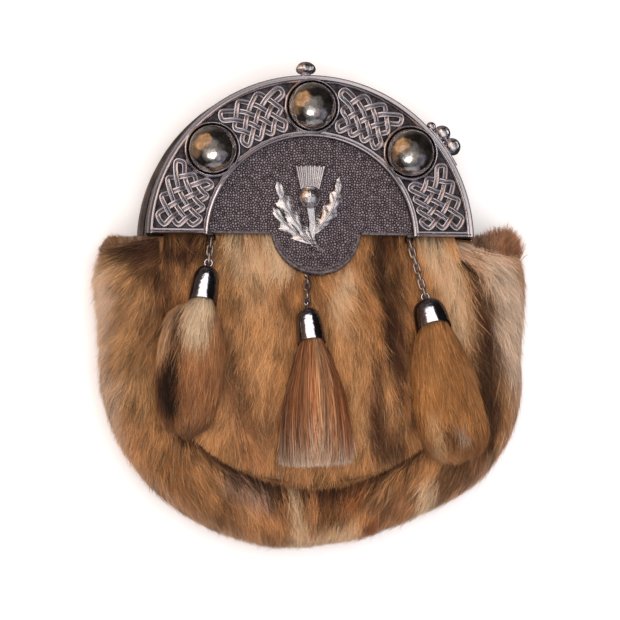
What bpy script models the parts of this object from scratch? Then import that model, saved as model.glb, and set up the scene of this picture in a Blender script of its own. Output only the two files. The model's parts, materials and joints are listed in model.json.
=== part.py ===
"""Fur sporran pouch lying on its back.

The front faces +Z, the purse frame's arch is towards +Y and the pouch hangs towards -Y.
Every length below is in millimetres. The finished pieces are in metres, with the origin on the
floor under the middle of the pouch.
"""
import math

import bmesh
import bpy
from mathutils import Matrix, Vector

MM = 0.001
GAP = 0.3            # clearance between neighbouring pieces
NAME = "sporran_pouch"

# Purse frame: two half frames shaped as one arch, feet on the line y = 0
ARCH_CENTRE_Y = -2.0
ARCH_OUTER = 74.5
ARCH_INNER = 46.6
ARCH_STEPS = 24
SKIRT_WALL = 2.0
PARTING_Z = 20.85    # where the front and the back half frame meet
GROUND_Z = 31.5      # sunk ground of the casting
PLATE_BACK_Z = 29.3
RIM_Z = 33.3
RIM_WIDTH = 2.8
OUTER_RIM_WIDTH = 3.4
FOOT_BAR = 2.6
FOOT_BAR_REACH = (48.5, 72.0)

# Domed bosses on the arch
BOSS_PITCH_RADIUS = 60.1
BOSS_SPREAD = 48.5   # degrees either side of the middle one
BOSS_RADIUS = 11.0
BOSS_HEIGHT = 8.2
SEAT_RADIUS = 13.3
BOSS_SIDES = 14

# Interlace in the four fields of the casting
KNOT_SPREAD = 24.3   # degrees from a field's middle to its boss
KNOT_HALF_LENGTH = 10.2
KNOT_HALF_WIDTH = 9.0
KNOT_STRAND = 1.15
KNOT_POINTS = 28

# Back half frame and back panel
BACK_FRAME_HALF_WIDTH = 77.2
BACK_FRAME_FLANGE = 64.0
BACK_PANEL_Z = 7.3
LEATHER = 2.0
BACK_ARCH_RADIUS = 70.0
BACK_ARCH_RISE = 68.5
BACK_ARCH_STEPS = 24
FLANGE = 1.6

# Leather field in the arch, with its tongue over the fur
FIELD_Z = 27.0
FIELD_RADIUS = 50.8
FIELD_FOOT_Y = 1.5
TONGUE_JOIN_Y = 0.9
TONGUE_X = 2.5
TONGUE_Y = 2.7
TONGUE_RADIUS = 20.2
TONGUE_LIFT = 6.2
TONGUE_BEAD = 0.6

# Front fur panel: straight sides, then a half ellipse
SEAM_HALF_WIDTH = 65.6
SEAM_DEPTH = 50.8
BELLY_Y = -59.7
SIDE_ROWS = (5.0, 0.0, -8.0, -17.0, -29.0, -44.0, BELLY_Y)
ARC_STEPS = 6
FRONT_COLUMNS = 8
HIDE = 2.0
FRONT_SECTIONS = (
    # y, height at the seam, height at the crown
    (5.0, 26.2, 26.2),
    (0.0, 26.4, 26.4),
    (-8.0, 27.4, 27.8),
    (-17.0, 28.6, 30.2),
    (-29.0, 30.2, 35.0),
    (-44.0, 32.0, 39.6),
    (-59.7, 33.6, 41.6),
    (-80.0, 35.0, 41.2),
    (-96.0, 35.8, 39.2),
    (-110.5, 36.0, 36.0),
)

# Gusset: the fur band from the front seam round to the back panel
BACK_SEAM_HALF_WIDTH = 70.0
BACK_SEAM_DEPTH = 55.0
GUSSET_HALF_WIDTH = 91.5
GUSSET_DEPTH = 76.8
WIDEST_Z = 18.0
SHOULDER_DROP = (
    # row, how far the widest line pulls in, how far it drops below the row
    (0.0, 9.5, 2.2),
    (-8.0, 2.0, 1.0),
    (-17.0, -1.0, 0.0),
    (-29.0, -1.2, 0.0),
    (-44.0, -0.6, 0.0),
    (-59.7, 0.0, 0.0),
)
GUSSET_SECTION = (
    # reach from the seam to the widest line, height as a share of the front or back rise
    (0.00, 1.00),
    (0.36, 1.07),
    (0.76, 0.82),
    (1.00, 0.00),
    (0.84, -0.74),
    (0.50, -1.00),
    (0.20, -0.72),
    (0.00, -0.54),
)

# Fur locks
LOCK_SIDES = 3
LOCK_FLATNESS = 0.30
LOCK_ROOT = 1.0      # how far a lock's root sits under the skin
FRONT_LOCK = {"length": 15.0, "width": 9.5, "tilt": 13.0}
FRONT_LOCK_PITCH = 8.5
FRONT_LOCK_ROWS = 13.0
GUSSET_LOCK = {"length": 12.5, "width": 10.5, "tilt": 17.0}
TASSEL_LOCK = {"length": 18.0, "width": 9.0, "tilt": 9.0}

# Chains
WIRE = 0.9
LINK_WIDTH = 3.6
LINK_PITCH = 3.7
LINK_LAP = 0.78
LINK_SEGMENTS = 8
WIRE_SIDES = 5
EYE_RADIUS = 1.7
EYE_Z = 30.8
LUG_INSET = 0.9      # from an eye's middle to the free end of its lug
LUG_BITE = 1.6       # how far the lug reaches into the casting
LUG_HEIGHT = 1.5
LUG_Y = (-0.7, 0.9)
TUCK = 1.4           # how far the middle chain starts under the tongue's back
END_PLAY = 0.2       # from an eye's middle to the wire of the link hooked in it

# Strap loops high on the back, so that the pouch also rests level on them
LOOP_X = 45.0
LOOP_WIDTH = 12.0
LOOP_SPAN = (
    # y, height of the strip's middle
    (-5.0, 6.0),
    (1.5, 6.0),
    (4.0, 1.0),
    (30.0, 1.0),
    (32.5, 6.0),
    (39.0, 6.0),
)

# Tassels: cap mouth, cap top, cap radius, chain start, and the hanging body's sections
TASSELS = {
    "left": {
        "mouth": (-49.4, -29.2), "top": (-46.6, -15.0), "radius": 5.9, "top_rise": 4.0,
        "chain": (-45.2, -1.6), "hook": "cantle", "kind": "fur",
        "sections": (
            # y, middle x, half width, half thickness
            (-34.0, -50.6, 7.6, 5.8),
            (-43.0, -52.4, 12.0, 7.0),
            (-57.0, -53.8, 15.0, 7.5),
            (-74.0, -54.8, 14.4, 7.2),
            (-85.0, -55.6, 10.6, 5.6),
            (-89.5, -55.4, 5.0, 3.0),
        ),
    },
    "centre": {
        "mouth": (0.0, -47.6), "top": (-1.4, -33.8), "radius": 5.9, "top_rise": 4.2,
        "chain": (-1.6, -14.6), "hook": "tongue", "kind": "hair",
        "sections": (
            (-51.0, 0.2, 5.6, 4.6),
            (-65.0, 1.1, 10.2, 4.6),
            (-83.0, 1.4, 14.4, 4.4),
            (-96.0, 1.0, 15.6, 3.6),
            (-102.0, 0.8, 14.6, 1.8),
        ),
    },
    "right": {
        "mouth": (54.6, -42.9), "top": (52.4, -29.6), "radius": 8.1, "top_rise": 4.6,
        "chain": (44.6, -1.6), "hook": "cantle", "kind": "fur",
        "sections": (
            (-48.5, 54.6, 9.8, 7.0),
            (-60.5, 56.8, 12.4, 7.6),
            (-74.0, 59.2, 14.2, 7.8),
            (-88.0, 62.2, 15.0, 7.4),
            (-97.5, 64.6, 12.0, 5.8),
            (-103.0, 65.4, 6.0, 3.2),
        ),
    },
}

CAP_PROFILE = (
    # radius and height as shares of the cap's radius and length, from the top down
    (0.00, 1.00),
    (0.42, 0.97),
    (0.70, 0.88),
    (0.88, 0.72),
    (0.96, 0.42),
    (1.00, 0.00),
)
CAP_WALL = 0.9
CAP_SIDES = 12
CAP_HOLLOW = ((1.0, 0.0), (1.0, 0.62), (0.6, 0.80), (0.0, 0.84))
REST_GAP = 0.6       # between a tassel and the fur it lies on
HEAD_DEPTH = 6.0     # how far a tassel's head reaches into its cap
HEAD_PLAY = 0.55     # between a tassel's head and the cap's wall
TASSEL_SIDES = 8

# Thistle badge
BADGE_Z = FIELD_Z + LEATHER + GAP
BADGE_THICKNESS = 1.7
BULB_X = -0.7
BULB_Y = 17.0
BULB_RADIUS = 5.0
BULB_RISE = 3.4
BADGE_LEAVES = (
    # base, tip, half width, teeth down an edge, bow
    ((0.2, -3.2), (-15.6, 26.0), 4.2, 4, 2.2),
    ((0.2, -3.8), (-17.4, 11.6), 3.4, 3, 1.6),
    ((0.4, 0.4), (13.0, 26.4), 3.6, 4, -3.6),
)
BADGE_STEM = (
    (BULB_X - 1.6, BULB_Y - 3.0), (-0.9, 6.0), (-1.2, -1.0), (-0.6, -6.6), (5.6, -6.2),
    (5.4, -4.6), (1.8, -4.0), (1.5, -1.0), (1.7, 6.0), (BULB_X + 1.7, BULB_Y - 3.0),
)
TUFT_BLADES = 5
TUFT_FAN = 13.0      # degrees between two blades of the thistle's tuft
TUFT_REACH = 9.4     # from the bulb's middle to a blade's middle
TUFT_LENGTH = 10.0

# Clasp knobs on the arch's rim
KNOB_X = -2.0
KNOB_HEIGHT = 6.6
KNOB_PROFILE = (
    # radius, share of the height
    (0.0, 1.0), (2.2, 0.93), (3.9, 0.68), (4.3, 0.46), (3.4, 0.20), (2.3, 0.12), (2.3, 0.0), (0.0, 0.0),
)
KNOB_SIDES = 12
KNOB_Z = 26.2
CLASP_FROM = 27.5    # degrees round the arch
CLASP_TO = 43.5
CLASP_STEPS = 6
CLASP_HEIGHT = 5.2
CLASP_LOBES = (
    # distance out from the rim, degrees round the arch, radius
    (3.9, 33.2, 3.2),
    (3.5, 39.0, 2.8),
)


def clear_scene():
    for old in list(bpy.data.objects):
        bpy.data.objects.remove(old, do_unlink=True)


def new_collection(name):
    collection = bpy.data.collections.new(name)
    bpy.context.scene.collection.children.link(collection)
    return collection


def make_material(name, colour, roughness, metallic):
    material = bpy.data.materials.new(name)
    material.use_nodes = True
    shader = material.node_tree.nodes["Principled BSDF"]
    shader.inputs["Base Color"].default_value = (*colour, 1.0)
    shader.inputs["Roughness"].default_value = roughness
    shader.inputs["Metallic"].default_value = metallic
    return material


def new_piece(name, bm, material=None):
    """Turn a bmesh in millimetres into an object in metres."""
    bmesh.ops.scale(bm, verts=bm.verts[:], vec=(MM, MM, MM))
    mesh = bpy.data.meshes.new(name)
    bm.to_mesh(mesh)
    bm.free()
    piece = bpy.data.objects.new(name, mesh)
    if material is None:
        cutters.objects.link(piece)
        piece.hide_render = True
        piece.display_type = "WIRE"
    else:
        parts.objects.link(piece)
        mesh.materials.append(material)
        mesh.shade_smooth()
        mesh.set_sharp_from_angle(angle=math.radians(35))
    return piece


def fuse(piece, tool, own=False):
    """Join a tool's solids to a piece; own also joins shapes that meet inside the tool."""
    joint = piece.modifiers.new("fuse " + tool.name, "BOOLEAN")
    joint.operation = "UNION"
    joint.solver = "EXACT"
    joint.use_self = own
    joint.object = tool


def thicken(piece, thickness):
    """Give an open surface its wall, on the side away from its normals."""
    wall = piece.modifiers.new("wall", "SOLIDIFY")
    wall.thickness = thickness * MM
    wall.offset = -1.0
    wall.use_even_offset = True


def blend(table, key, column):
    """Read a table between its rows, with the key falling from row to row."""
    if key >= table[0][0]:
        return table[0][column]
    for upper, lower in zip(table, table[1:]):
        if key >= lower[0]:
            share = (upper[0] - key) / (upper[0] - lower[0])
            return upper[column] + share * (lower[column] - upper[column])
    return table[-1][column]


# ---- shared shapes

def arch_point(radius, degrees, z=0.0):
    angle = math.radians(degrees)
    return Vector((radius * math.cos(angle), ARCH_CENTRE_Y + radius * math.sin(angle), z))


def arch_band(profile, half_width=ARCH_OUTER):
    """Sweep a closed profile of (radius, z) round the arch and square its feet off at y = 0."""
    bm = bmesh.new()
    ring = [bm.verts.new((radius, ARCH_CENTRE_Y, z)) for radius, z in profile]
    edges = [bm.edges.new(pair) for pair in zip(ring, ring[1:] + ring[:1])]
    centre = (0.0, ARCH_CENTRE_Y, 0.0)
    start = math.radians(-6.0)
    bmesh.ops.rotate(bm, verts=ring, cent=centre, matrix=Matrix.Rotation(start, 3, "Z"))
    bmesh.ops.spin(bm, geom=ring + edges, cent=centre, axis=(0.0, 0.0, 1.0),
                   angle=math.pi - 2.0 * start, steps=ARCH_STEPS)
    for vert in bm.verts:
        vert.co.x *= half_width / ARCH_OUTER
    everything = bm.verts[:] + bm.edges[:] + bm.faces[:]
    bmesh.ops.bisect_plane(bm, geom=everything, plane_co=(0, 0, 0), plane_no=(0, 1, 0), clear_inner=True)
    bmesh.ops.holes_fill(bm, edges=[edge for edge in bm.edges if edge.is_boundary], sides=0)
    bmesh.ops.recalc_face_normals(bm, faces=bm.faces[:])
    return bm


def turned(name, profile, sides, material=None):
    """Turn a profile of (radius, z), listed down its outer side, round the Z axis."""
    bm = bmesh.new()
    verts = [bm.verts.new((radius, 0.0, z)) for radius, z in profile]
    for pair in zip(verts, verts[1:]):
        bm.edges.new(pair)
    piece = new_piece(name, bm, material)
    screw = piece.modifiers.new("turn", "SCREW")
    screw.steps = sides
    screw.render_steps = sides
    screw.use_merge_vertices = True
    screw.merge_threshold = 0.00001
    screw.use_smooth_shade = True
    return piece


def outline_plate(outline, z, thickness):
    """A flat plate with the given outline between z and z + thickness."""
    flat = bpy.data.curves.new("outline", "CURVE")
    flat.dimensions = "2D"
    flat.fill_mode = "BOTH"
    flat.extrude = thickness / 2.0
    spline = flat.splines.new("POLY")
    spline.points.add(len(outline) - 1)
    for point, (x, y) in zip(spline.points, outline):
        point.co = (x, y, 0.0, 1.0)
    spline.use_cyclic_u = True
    return solid_of_curve(flat, Matrix.Translation((0.0, 0.0, z + thickness / 2.0)))


def tube(points, radius, cyclic=False, resolution=0):
    """A wire along points, as a mesh."""
    wire = bpy.data.curves.new("wire", "CURVE")
    wire.dimensions = "3D"
    wire.twist_mode = "Z_UP"
    wire.bevel_depth = radius
    wire.bevel_resolution = resolution
    wire.use_fill_caps = not cyclic
    spline = wire.splines.new("POLY")
    spline.points.add(len(points) - 1)
    for place, point in zip(spline.points, points):
        place.co = (*point, 1.0)
    spline.use_cyclic_u = cyclic
    return solid_of_curve(wire, Matrix.Identity(4))


def solid_of_curve(curve, matrix):
    guide = bpy.data.objects.new("guide", curve)
    cutters.objects.link(guide)
    graph = bpy.context.evaluated_depsgraph_get()
    mesh = bpy.data.meshes.new_from_object(guide.evaluated_get(graph))
    bm = bmesh.new()
    bm.from_mesh(mesh)
    bpy.data.objects.remove(guide)
    bpy.data.meshes.remove(mesh)
    bpy.data.curves.remove(curve)
    bmesh.ops.remove_doubles(bm, verts=bm.verts[:], dist=0.001)
    bmesh.ops.transform(bm, matrix=matrix, verts=bm.verts[:])
    bmesh.ops.recalc_face_normals(bm, faces=bm.faces[:])
    return bm


def absorb(target, source):
    """Move a bmesh's shapes into another one."""
    mesh = bpy.data.meshes.new("shapes")
    source.to_mesh(mesh)
    source.free()
    target.from_mesh(mesh)
    bpy.data.meshes.remove(mesh)


def ball(bm, centre, radii, segments=12, rings=8):
    matrix = Matrix.Translation(centre) @ Matrix.Diagonal((*radii, 1.0))
    bmesh.ops.create_uvsphere(bm, u_segments=segments, v_segments=rings, radius=1.0, matrix=matrix)


def block(bm, low, high):
    size = Vector(high) - Vector(low)
    middle = (Vector(high) + Vector(low)) / 2.0
    bmesh.ops.create_cube(bm, size=1.0, matrix=Matrix.Translation(middle) @ Matrix.Diagonal((*size, 1.0)))


def wire_ring(bm, half_straight, radius, matrix):
    """An oval ring of wire in the local XY plane, its length along X."""
    upright = Matrix.Translation((radius, 0.0, 0.0)) @ Matrix.Rotation(math.pi / 2.0, 4, "X")
    verts = bmesh.ops.create_circle(bm, segments=WIRE_SIDES, radius=WIRE / 2.0, matrix=upright)["verts"]
    first = math.pi / LINK_SEGMENTS
    bmesh.ops.rotate(bm, verts=verts, cent=(0, 0, 0), matrix=Matrix.Rotation(first, 3, "Z"))
    edges = list({edge for vert in verts for edge in vert.link_edges})
    before = set(bm.verts)
    bmesh.ops.spin(bm, geom=verts + edges, cent=(0, 0, 0), axis=(0, 0, 1), angle=2.0 * math.pi,
                   steps=LINK_SEGMENTS, use_merge=True)
    ring = list(set(verts) | (set(bm.verts) - before))
    ring = [vert for vert in ring if vert.is_valid]
    for vert in ring:
        vert.co.x += math.copysign(half_straight, vert.co.x)
    bmesh.ops.transform(bm, matrix=matrix, verts=ring)


def add_lock(bm, root, along, out, size):
    """A flattened, pointed lock of fur whose root sits just under the skin."""
    tilt = math.radians(size["tilt"])
    axis = (along.normalized() * math.cos(tilt) + out.normalized() * math.sin(tilt)).normalized()
    side = axis.cross(out).normalized()
    lift = side.cross(axis).normalized()
    start = root - out.normalized() * LOCK_ROOT
    frame = Matrix((side, lift, axis)).transposed().to_4x4()
    flatten = Matrix.Diagonal((1.0, LOCK_FLATNESS, 1.0, 1.0)) @ Matrix.Rotation(math.pi / 2.0, 4, "Z")
    matrix = Matrix.Translation(start + axis * size["length"] / 2.0) @ frame @ flatten
    bmesh.ops.create_cone(bm, cap_ends=True, segments=LOCK_SIDES, radius1=size["width"] / 2.0,
                          radius2=0.0, depth=size["length"], matrix=matrix)


# ---- the fur's surfaces

def seam_half_width(y):
    if y >= BELLY_Y:
        return SEAM_HALF_WIDTH
    share = min(1.0, (BELLY_Y - y) / SEAM_DEPTH)
    return SEAM_HALF_WIDTH * math.sqrt(1.0 - share * share)


def front_height(x, y):
    """Height of the front fur's skin, and of the band beyond its seam."""
    edge = blend(FRONT_SECTIONS, y, 1)
    crown = blend(FRONT_SECTIONS, y, 2)
    half = seam_half_width(y)
    if abs(x) >= half:
        return edge + 1.3
    return edge + (crown - edge) * (1.0 - (x / half) ** 2) ** 0.8


def front_out(x, y):
    """Outward direction of the front fur's skin."""
    step = 0.5
    slope_x = (front_height(x + step, y) - front_height(x - step, y)) / (2.0 * step)
    slope_y = (front_height(x, y + step) - front_height(x, y - step)) / (2.0 * step)
    return Vector((-slope_x, -slope_y, 1.0)).normalized()


def tongue_rise(y):
    """How far the leather tongue has lifted off the frame's plane at y."""
    if y >= 0.0:
        return 0.0
    return TONGUE_LIFT * (-y / (TONGUE_RADIUS - TONGUE_Y)) ** 1.3


def gusset_stations():
    """Front seam, widest line and back seam at each station, from the left mouth to the right one."""
    left = []
    for row in SIDE_ROWS[1:]:
        y = min(row, -0.6)
        widest = GUSSET_HALF_WIDTH - blend(SHOULDER_DROP, row, 1)
        drop = blend(SHOULDER_DROP, row, 2)
        left.append((Vector((-SEAM_HALF_WIDTH - 0.35, y)), Vector((-widest, y - drop)),
                     Vector((-BACK_SEAM_HALF_WIDTH - 0.35, y)), blend(FRONT_SECTIONS, row, 1)))
    for step in range(1, ARC_STEPS + 1):
        angle = math.radians(90.0 * step / ARC_STEPS)
        row = BELLY_Y - SEAM_DEPTH * math.sin(angle)
        left.append((ellipse_point(SEAM_HALF_WIDTH + 0.35, SEAM_DEPTH + 0.35, angle),
                     ellipse_point(GUSSET_HALF_WIDTH, GUSSET_DEPTH, angle),
                     ellipse_point(BACK_SEAM_HALF_WIDTH + 0.35, BACK_SEAM_DEPTH + 0.35, angle),
                     blend(FRONT_SECTIONS, row, 1)))
    right = [(mirrored(front), mirrored(widest), mirrored(back), height)
             for front, widest, back, height in reversed(left[:-1])]
    return left + right


def ellipse_point(half_width, depth, angle):
    return Vector((-half_width * math.cos(angle), BELLY_Y - depth * math.sin(angle)))


def mirrored(point):
    return Vector((-point.x, point.y))


def gusset_point(station, reach, height):
    front, widest, back, front_z = station
    if height >= 0.0:
        place = front.lerp(widest, reach)
        z = WIDEST_Z + height * (front_z - WIDEST_Z)
    else:
        place = back.lerp(widest, reach)
        z = WIDEST_Z * (1.0 + height)
    return Vector((place.x, place.y, z))


# ---- metal pieces

def make_cantle():
    """The front half frame, cast in one with its rims, seats, interlace and chain eyes."""
    rim_out = ARCH_OUTER - OUTER_RIM_WIDTH
    rim_in = ARCH_INNER + RIM_WIDTH
    skirt = ARCH_OUTER - SKIRT_WALL
    profile = (
        (ARCH_INNER, PLATE_BACK_Z),
        (ARCH_INNER, RIM_Z - 0.5), (ARCH_INNER + 0.6, RIM_Z), (rim_in - 0.6, RIM_Z), (rim_in, GROUND_Z),
        (rim_out, GROUND_Z), (rim_out + 0.6, RIM_Z), (ARCH_OUTER - 1.4, RIM_Z),
        (ARCH_OUTER - 0.3, RIM_Z - 1.2),
        (ARCH_OUTER, PARTING_Z + GAP / 2.0), (skirt, PARTING_Z + GAP / 2.0),
        (skirt, PLATE_BACK_Z),
    )
    cantle = new_piece("cantle", arch_band(profile), chrome)
    for index, degrees in enumerate(boss_angles()):
        seat = turned(f"boss_seat_{index}", seat_profile(), BOSS_SIDES)
        seat.location = arch_point(BOSS_PITCH_RADIUS, degrees) * MM
        fuse(cantle, seat)
    bars = bmesh.new()
    for side in (-1.0, 1.0):
        ends = sorted(side * reach for reach in FOOT_BAR_REACH)
        block(bars, (ends[0], 0.0, PLATE_BACK_Z + 0.6), (ends[1], FOOT_BAR, RIM_Z - 0.2))
    fuse(cantle, new_piece("foot_bars", bars))
    lugs, eyes = bmesh.new(), bmesh.new()
    for name in ("left", "right"):
        centre = chain_start(TASSELS[name])
        turn = link_frame(chain_line(TASSELS[name]), True)
        wire_ring(eyes, 0.0, EYE_RADIUS, Matrix.Translation(centre) @ turn)
        ends = sorted((centre.x - math.copysign(LUG_INSET, centre.x),
                       math.copysign(ARCH_INNER + LUG_BITE, centre.x)))
        low = centre.z - LUG_HEIGHT / 2.0
        block(lugs, (ends[0], LUG_Y[0], low), (ends[1], LUG_Y[1], low + LUG_HEIGHT))
    fuse(cantle, new_piece("chain_lugs", lugs))
    fuse(cantle, new_piece("chain_eyes", eyes))
    for index, middle in enumerate(knot_angles()):
        fuse(cantle, new_piece(f"knot_{index}", knot_strand(middle)), own=True)
    return cantle


def boss_angles():
    return (90.0 + BOSS_SPREAD, 90.0, 90.0 - BOSS_SPREAD)


def knot_angles():
    upper = BOSS_SPREAD / 2.0
    lower = BOSS_SPREAD + KNOT_SPREAD
    return (90.0 + lower, 90.0 + upper, 90.0 - upper, 90.0 - lower)


def seat_profile():
    return (
        (0.0, GROUND_Z + 0.9), (BOSS_RADIUS + 0.4, GROUND_Z + 0.9), (BOSS_RADIUS + 0.5, RIM_Z + 0.7),
        (SEAT_RADIUS - 0.6, RIM_Z + 0.8), (SEAT_RADIUS, GROUND_Z - 0.4), (0.0, GROUND_Z - 0.4),
    )


def knot_strand(middle):
    """One endless strand crossing itself: four lobes along the field and three across it."""
    points = []
    for step in range(KNOT_POINTS):
        turn = 2.0 * math.pi * (step + 0.5) / KNOT_POINTS
        along = KNOT_HALF_LENGTH * math.sin(3.0 * turn)
        across = KNOT_HALF_WIDTH * math.sin(4.0 * turn)
        degrees = middle + math.degrees(along / BOSS_PITCH_RADIUS)
        points.append(arch_point(BOSS_PITCH_RADIUS + across, degrees, GROUND_Z - 0.15))
    return tube(points, KNOT_STRAND, cyclic=True)


def make_bosses():
    profile = [(0.0, BOSS_HEIGHT)]
    for step in range(1, 5):
        angle = math.radians(90.0 - 21.0 * step)
        profile.append((BOSS_RADIUS * math.cos(angle), BOSS_HEIGHT * math.sin(angle)))
    profile += [(BOSS_RADIUS, 0.0), (0.0, 0.0)]
    for name, degrees in zip(("left", "top", "right"), boss_angles()):
        boss = turned(f"dome_boss_{name}", profile, BOSS_SIDES, chrome)
        boss.location = arch_point(BOSS_PITCH_RADIUS, degrees, GROUND_Z + 0.9 + GAP) * MM


def make_back_frame():
    wall = ARCH_OUTER - SKIRT_WALL
    low = BACK_PANEL_Z
    flange = BACK_PANEL_Z + LEATHER + GAP
    profile = (
        (BACK_FRAME_FLANGE, flange), (BACK_FRAME_FLANGE, flange + FLANGE), (wall, flange + FLANGE),
        (wall, PARTING_Z - GAP / 2.0), (ARCH_OUTER, PARTING_Z - GAP / 2.0), (ARCH_OUTER, low), (wall, low),
        (wall, flange),
    )
    new_piece("frame_back", arch_band(profile, BACK_FRAME_HALF_WIDTH), dark_steel)


def make_top_knob():
    """Squat lobed ball on a short neck, standing on the arch's rim."""
    profile = [(radius, share * KNOB_HEIGHT) for radius, share in KNOB_PROFILE]
    knob = turned("knob_top", profile, KNOB_SIDES, chrome)
    knob.rotation_euler = (-math.pi / 2.0, 0.0, 0.0)
    rim_y = ARCH_CENTRE_Y + math.sqrt(ARCH_OUTER ** 2 - KNOB_X ** 2)
    knob.location = (KNOB_X * MM, (rim_y + GAP) * MM, KNOB_Z * MM)


def make_side_clasp():
    """Curved bar on the arch's rim that carries two round lobes."""
    inner = ARCH_OUTER + GAP + 0.1
    rim, crown = [], []
    for step in range(CLASP_STEPS + 1):
        degrees = CLASP_FROM + (CLASP_TO - CLASP_FROM) * step / CLASP_STEPS
        swell = 1.1 + 0.7 * math.sin(math.pi * step / CLASP_STEPS)
        rim.append(arch_point(inner, degrees).to_2d())
        crown.append(arch_point(inner + swell, degrees).to_2d())
    bar = outline_plate(rim + crown[::-1], KNOB_Z - CLASP_HEIGHT / 2.0, CLASP_HEIGHT)
    clasp = new_piece("clasp_side", bar, chrome)
    lobes = bmesh.new()
    for reach, degrees, radius in CLASP_LOBES:
        ball(lobes, arch_point(ARCH_OUTER + reach, degrees, KNOB_Z), (radius, radius, radius), 10, 7)
    fuse(clasp, new_piece("clasp_lobes", lobes), own=True)


# ---- leather pieces

def field_outline():
    """Arch field with a straight foot and the round tongue below it."""
    outline = []
    reach = math.sqrt(FIELD_RADIUS ** 2 - (FIELD_FOOT_Y - ARCH_CENTRE_Y) ** 2)
    first = math.degrees(math.atan2(FIELD_FOOT_Y - ARCH_CENTRE_Y, reach))
    for step in range(21):
        degrees = first + (180.0 - 2.0 * first) * step / 20
        outline.append(arch_point(FIELD_RADIUS, degrees).to_2d())
    dip = math.degrees(math.asin((TONGUE_JOIN_Y - TONGUE_Y) / TONGUE_RADIUS))
    for step in range(17):
        degrees = 180.0 - dip + (180.0 + 2.0 * dip) * step / 16
        outline.append(tongue_point(TONGUE_RADIUS, degrees))
    return outline


def tongue_point(radius, degrees):
    angle = math.radians(degrees)
    return Vector((TONGUE_X + radius * math.cos(angle), TONGUE_Y + radius * math.sin(angle)))


def lift_tongue(bm):
    """Split the shape into rows and raise it as the tongue rises."""
    for row in (0.0, -3.5, -7.0, -10.5, -14.0):
        everything = bm.verts[:] + bm.edges[:] + bm.faces[:]
        bmesh.ops.bisect_plane(bm, geom=everything, plane_co=(0, row, 0), plane_no=(0, 1, 0))
    bmesh.ops.triangulate(bm, faces=bm.faces[:])
    for vert in bm.verts:
        vert.co.z += tongue_rise(vert.co.y)


def make_leather_panel():
    plate = outline_plate(field_outline(), FIELD_Z, LEATHER)
    lift_tongue(plate)
    panel = new_piece("leather_panel", plate, leather)
    edge = []
    for step in range(15):
        point = tongue_point(TONGUE_RADIUS - 0.9, 190.0 + 160.0 * step / 14)
        edge.append((point.x, point.y, FIELD_Z + LEATHER + tongue_rise(point.y) + 0.13))
    fuse(panel, new_piece("tongue_edge", tube(edge, TONGUE_BEAD)))


def make_back_panel():
    """Leather that closes the arch behind and runs down to the bottom of the pouch."""
    outline = []
    for step in range(BACK_ARCH_STEPS + 1):
        angle = math.pi * step / BACK_ARCH_STEPS
        outline.append(Vector((BACK_ARCH_RADIUS * math.cos(angle), GAP + BACK_ARCH_RISE * math.sin(angle))))
    for step in range(2 * ARC_STEPS + 1):
        angle = math.pi * step / (2 * ARC_STEPS)
        outline.append(ellipse_point(BACK_SEAM_HALF_WIDTH, BACK_SEAM_DEPTH, angle))
    new_piece("back_panel", outline_plate(outline, BACK_PANEL_Z, LEATHER), leather)


def make_strap_loops():
    for name, side in (("left", -1.0), ("right", 1.0)):
        bm = bmesh.new()
        start = side * LOOP_X - LOOP_WIDTH / 2.0
        row = [bm.verts.new((start, y, z)) for y, z in LOOP_SPAN]
        edges = [bm.edges.new(pair) for pair in zip(row, row[1:])]
        strip = bmesh.ops.extrude_edge_only(bm, edges=edges)
        moved = [item for item in strip["geom"] if isinstance(item, bmesh.types.BMVert)]
        bmesh.ops.translate(bm, verts=moved, vec=(LOOP_WIDTH, 0.0, 0.0))
        bmesh.ops.recalc_face_normals(bm, faces=bm.faces[:])
        loop = new_piece(f"strap_loop_{name}", bm, leather)
        thicken(loop, LEATHER)
        loop.modifiers["wall"].offset = 0.0


# ---- fur pieces

def front_rows():
    rows = [(row, SEAM_HALF_WIDTH) for row in SIDE_ROWS]
    for step in range(1, ARC_STEPS):
        angle = math.radians(90.0 * step / ARC_STEPS)
        rows.append((BELLY_Y - SEAM_DEPTH * math.sin(angle), SEAM_HALF_WIDTH * math.cos(angle)))
    return rows


def make_front_fur():
    bm = bmesh.new()
    previous = None
    for y, half in front_rows():
        row = []
        for column in range(FRONT_COLUMNS + 1):
            x = half * math.sin(math.pi * (column / FRONT_COLUMNS - 0.5))
            inside = x * 0.9999
            row.append(bm.verts.new((x, y, front_height(inside, y))))
        if previous:
            for a, b, c, d in zip(previous, row, row[1:], previous[1:]):
                bm.faces.new((a, b, c, d))
        previous = row
    tip = bm.verts.new((0.0, BELLY_Y - SEAM_DEPTH, FRONT_SECTIONS[-1][1]))
    for a, b in zip(previous, previous[1:]):
        bm.faces.new((a, tip, b))
    panel = new_piece("front_fur", bm, fur)
    thicken(panel, HIDE)
    fuse(panel, new_piece("front_locks", front_locks()), own=True)


def front_locks():
    """Staggered rows of locks, left out where the tongue, chains and tassels lie."""
    bm = bmesh.new()
    y = -9.0
    row = 0
    while y > BELLY_Y - SEAM_DEPTH + 12.0:
        half = seam_half_width(y - 8.0) - 7.0
        count = max(1, int(half / FRONT_LOCK_PITCH))
        for column in range(-count, count + 1):
            x = (column + 0.5 * (row % 2)) * half / count
            if abs(x) <= half and not covered(x, y) and not covered(x, y - FRONT_LOCK["length"]):
                root = Vector((x, y, front_height(x, y)))
                out = front_out(x, y)
                along = Vector((0.10 * x / 65.0, -1.0, 0.0))
                along = (along - out * along.dot(out)).normalized()
                add_lock(bm, root, along, out, FRONT_LOCK)
        y -= FRONT_LOCK_ROWS
        row += 1
    return bm


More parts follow.
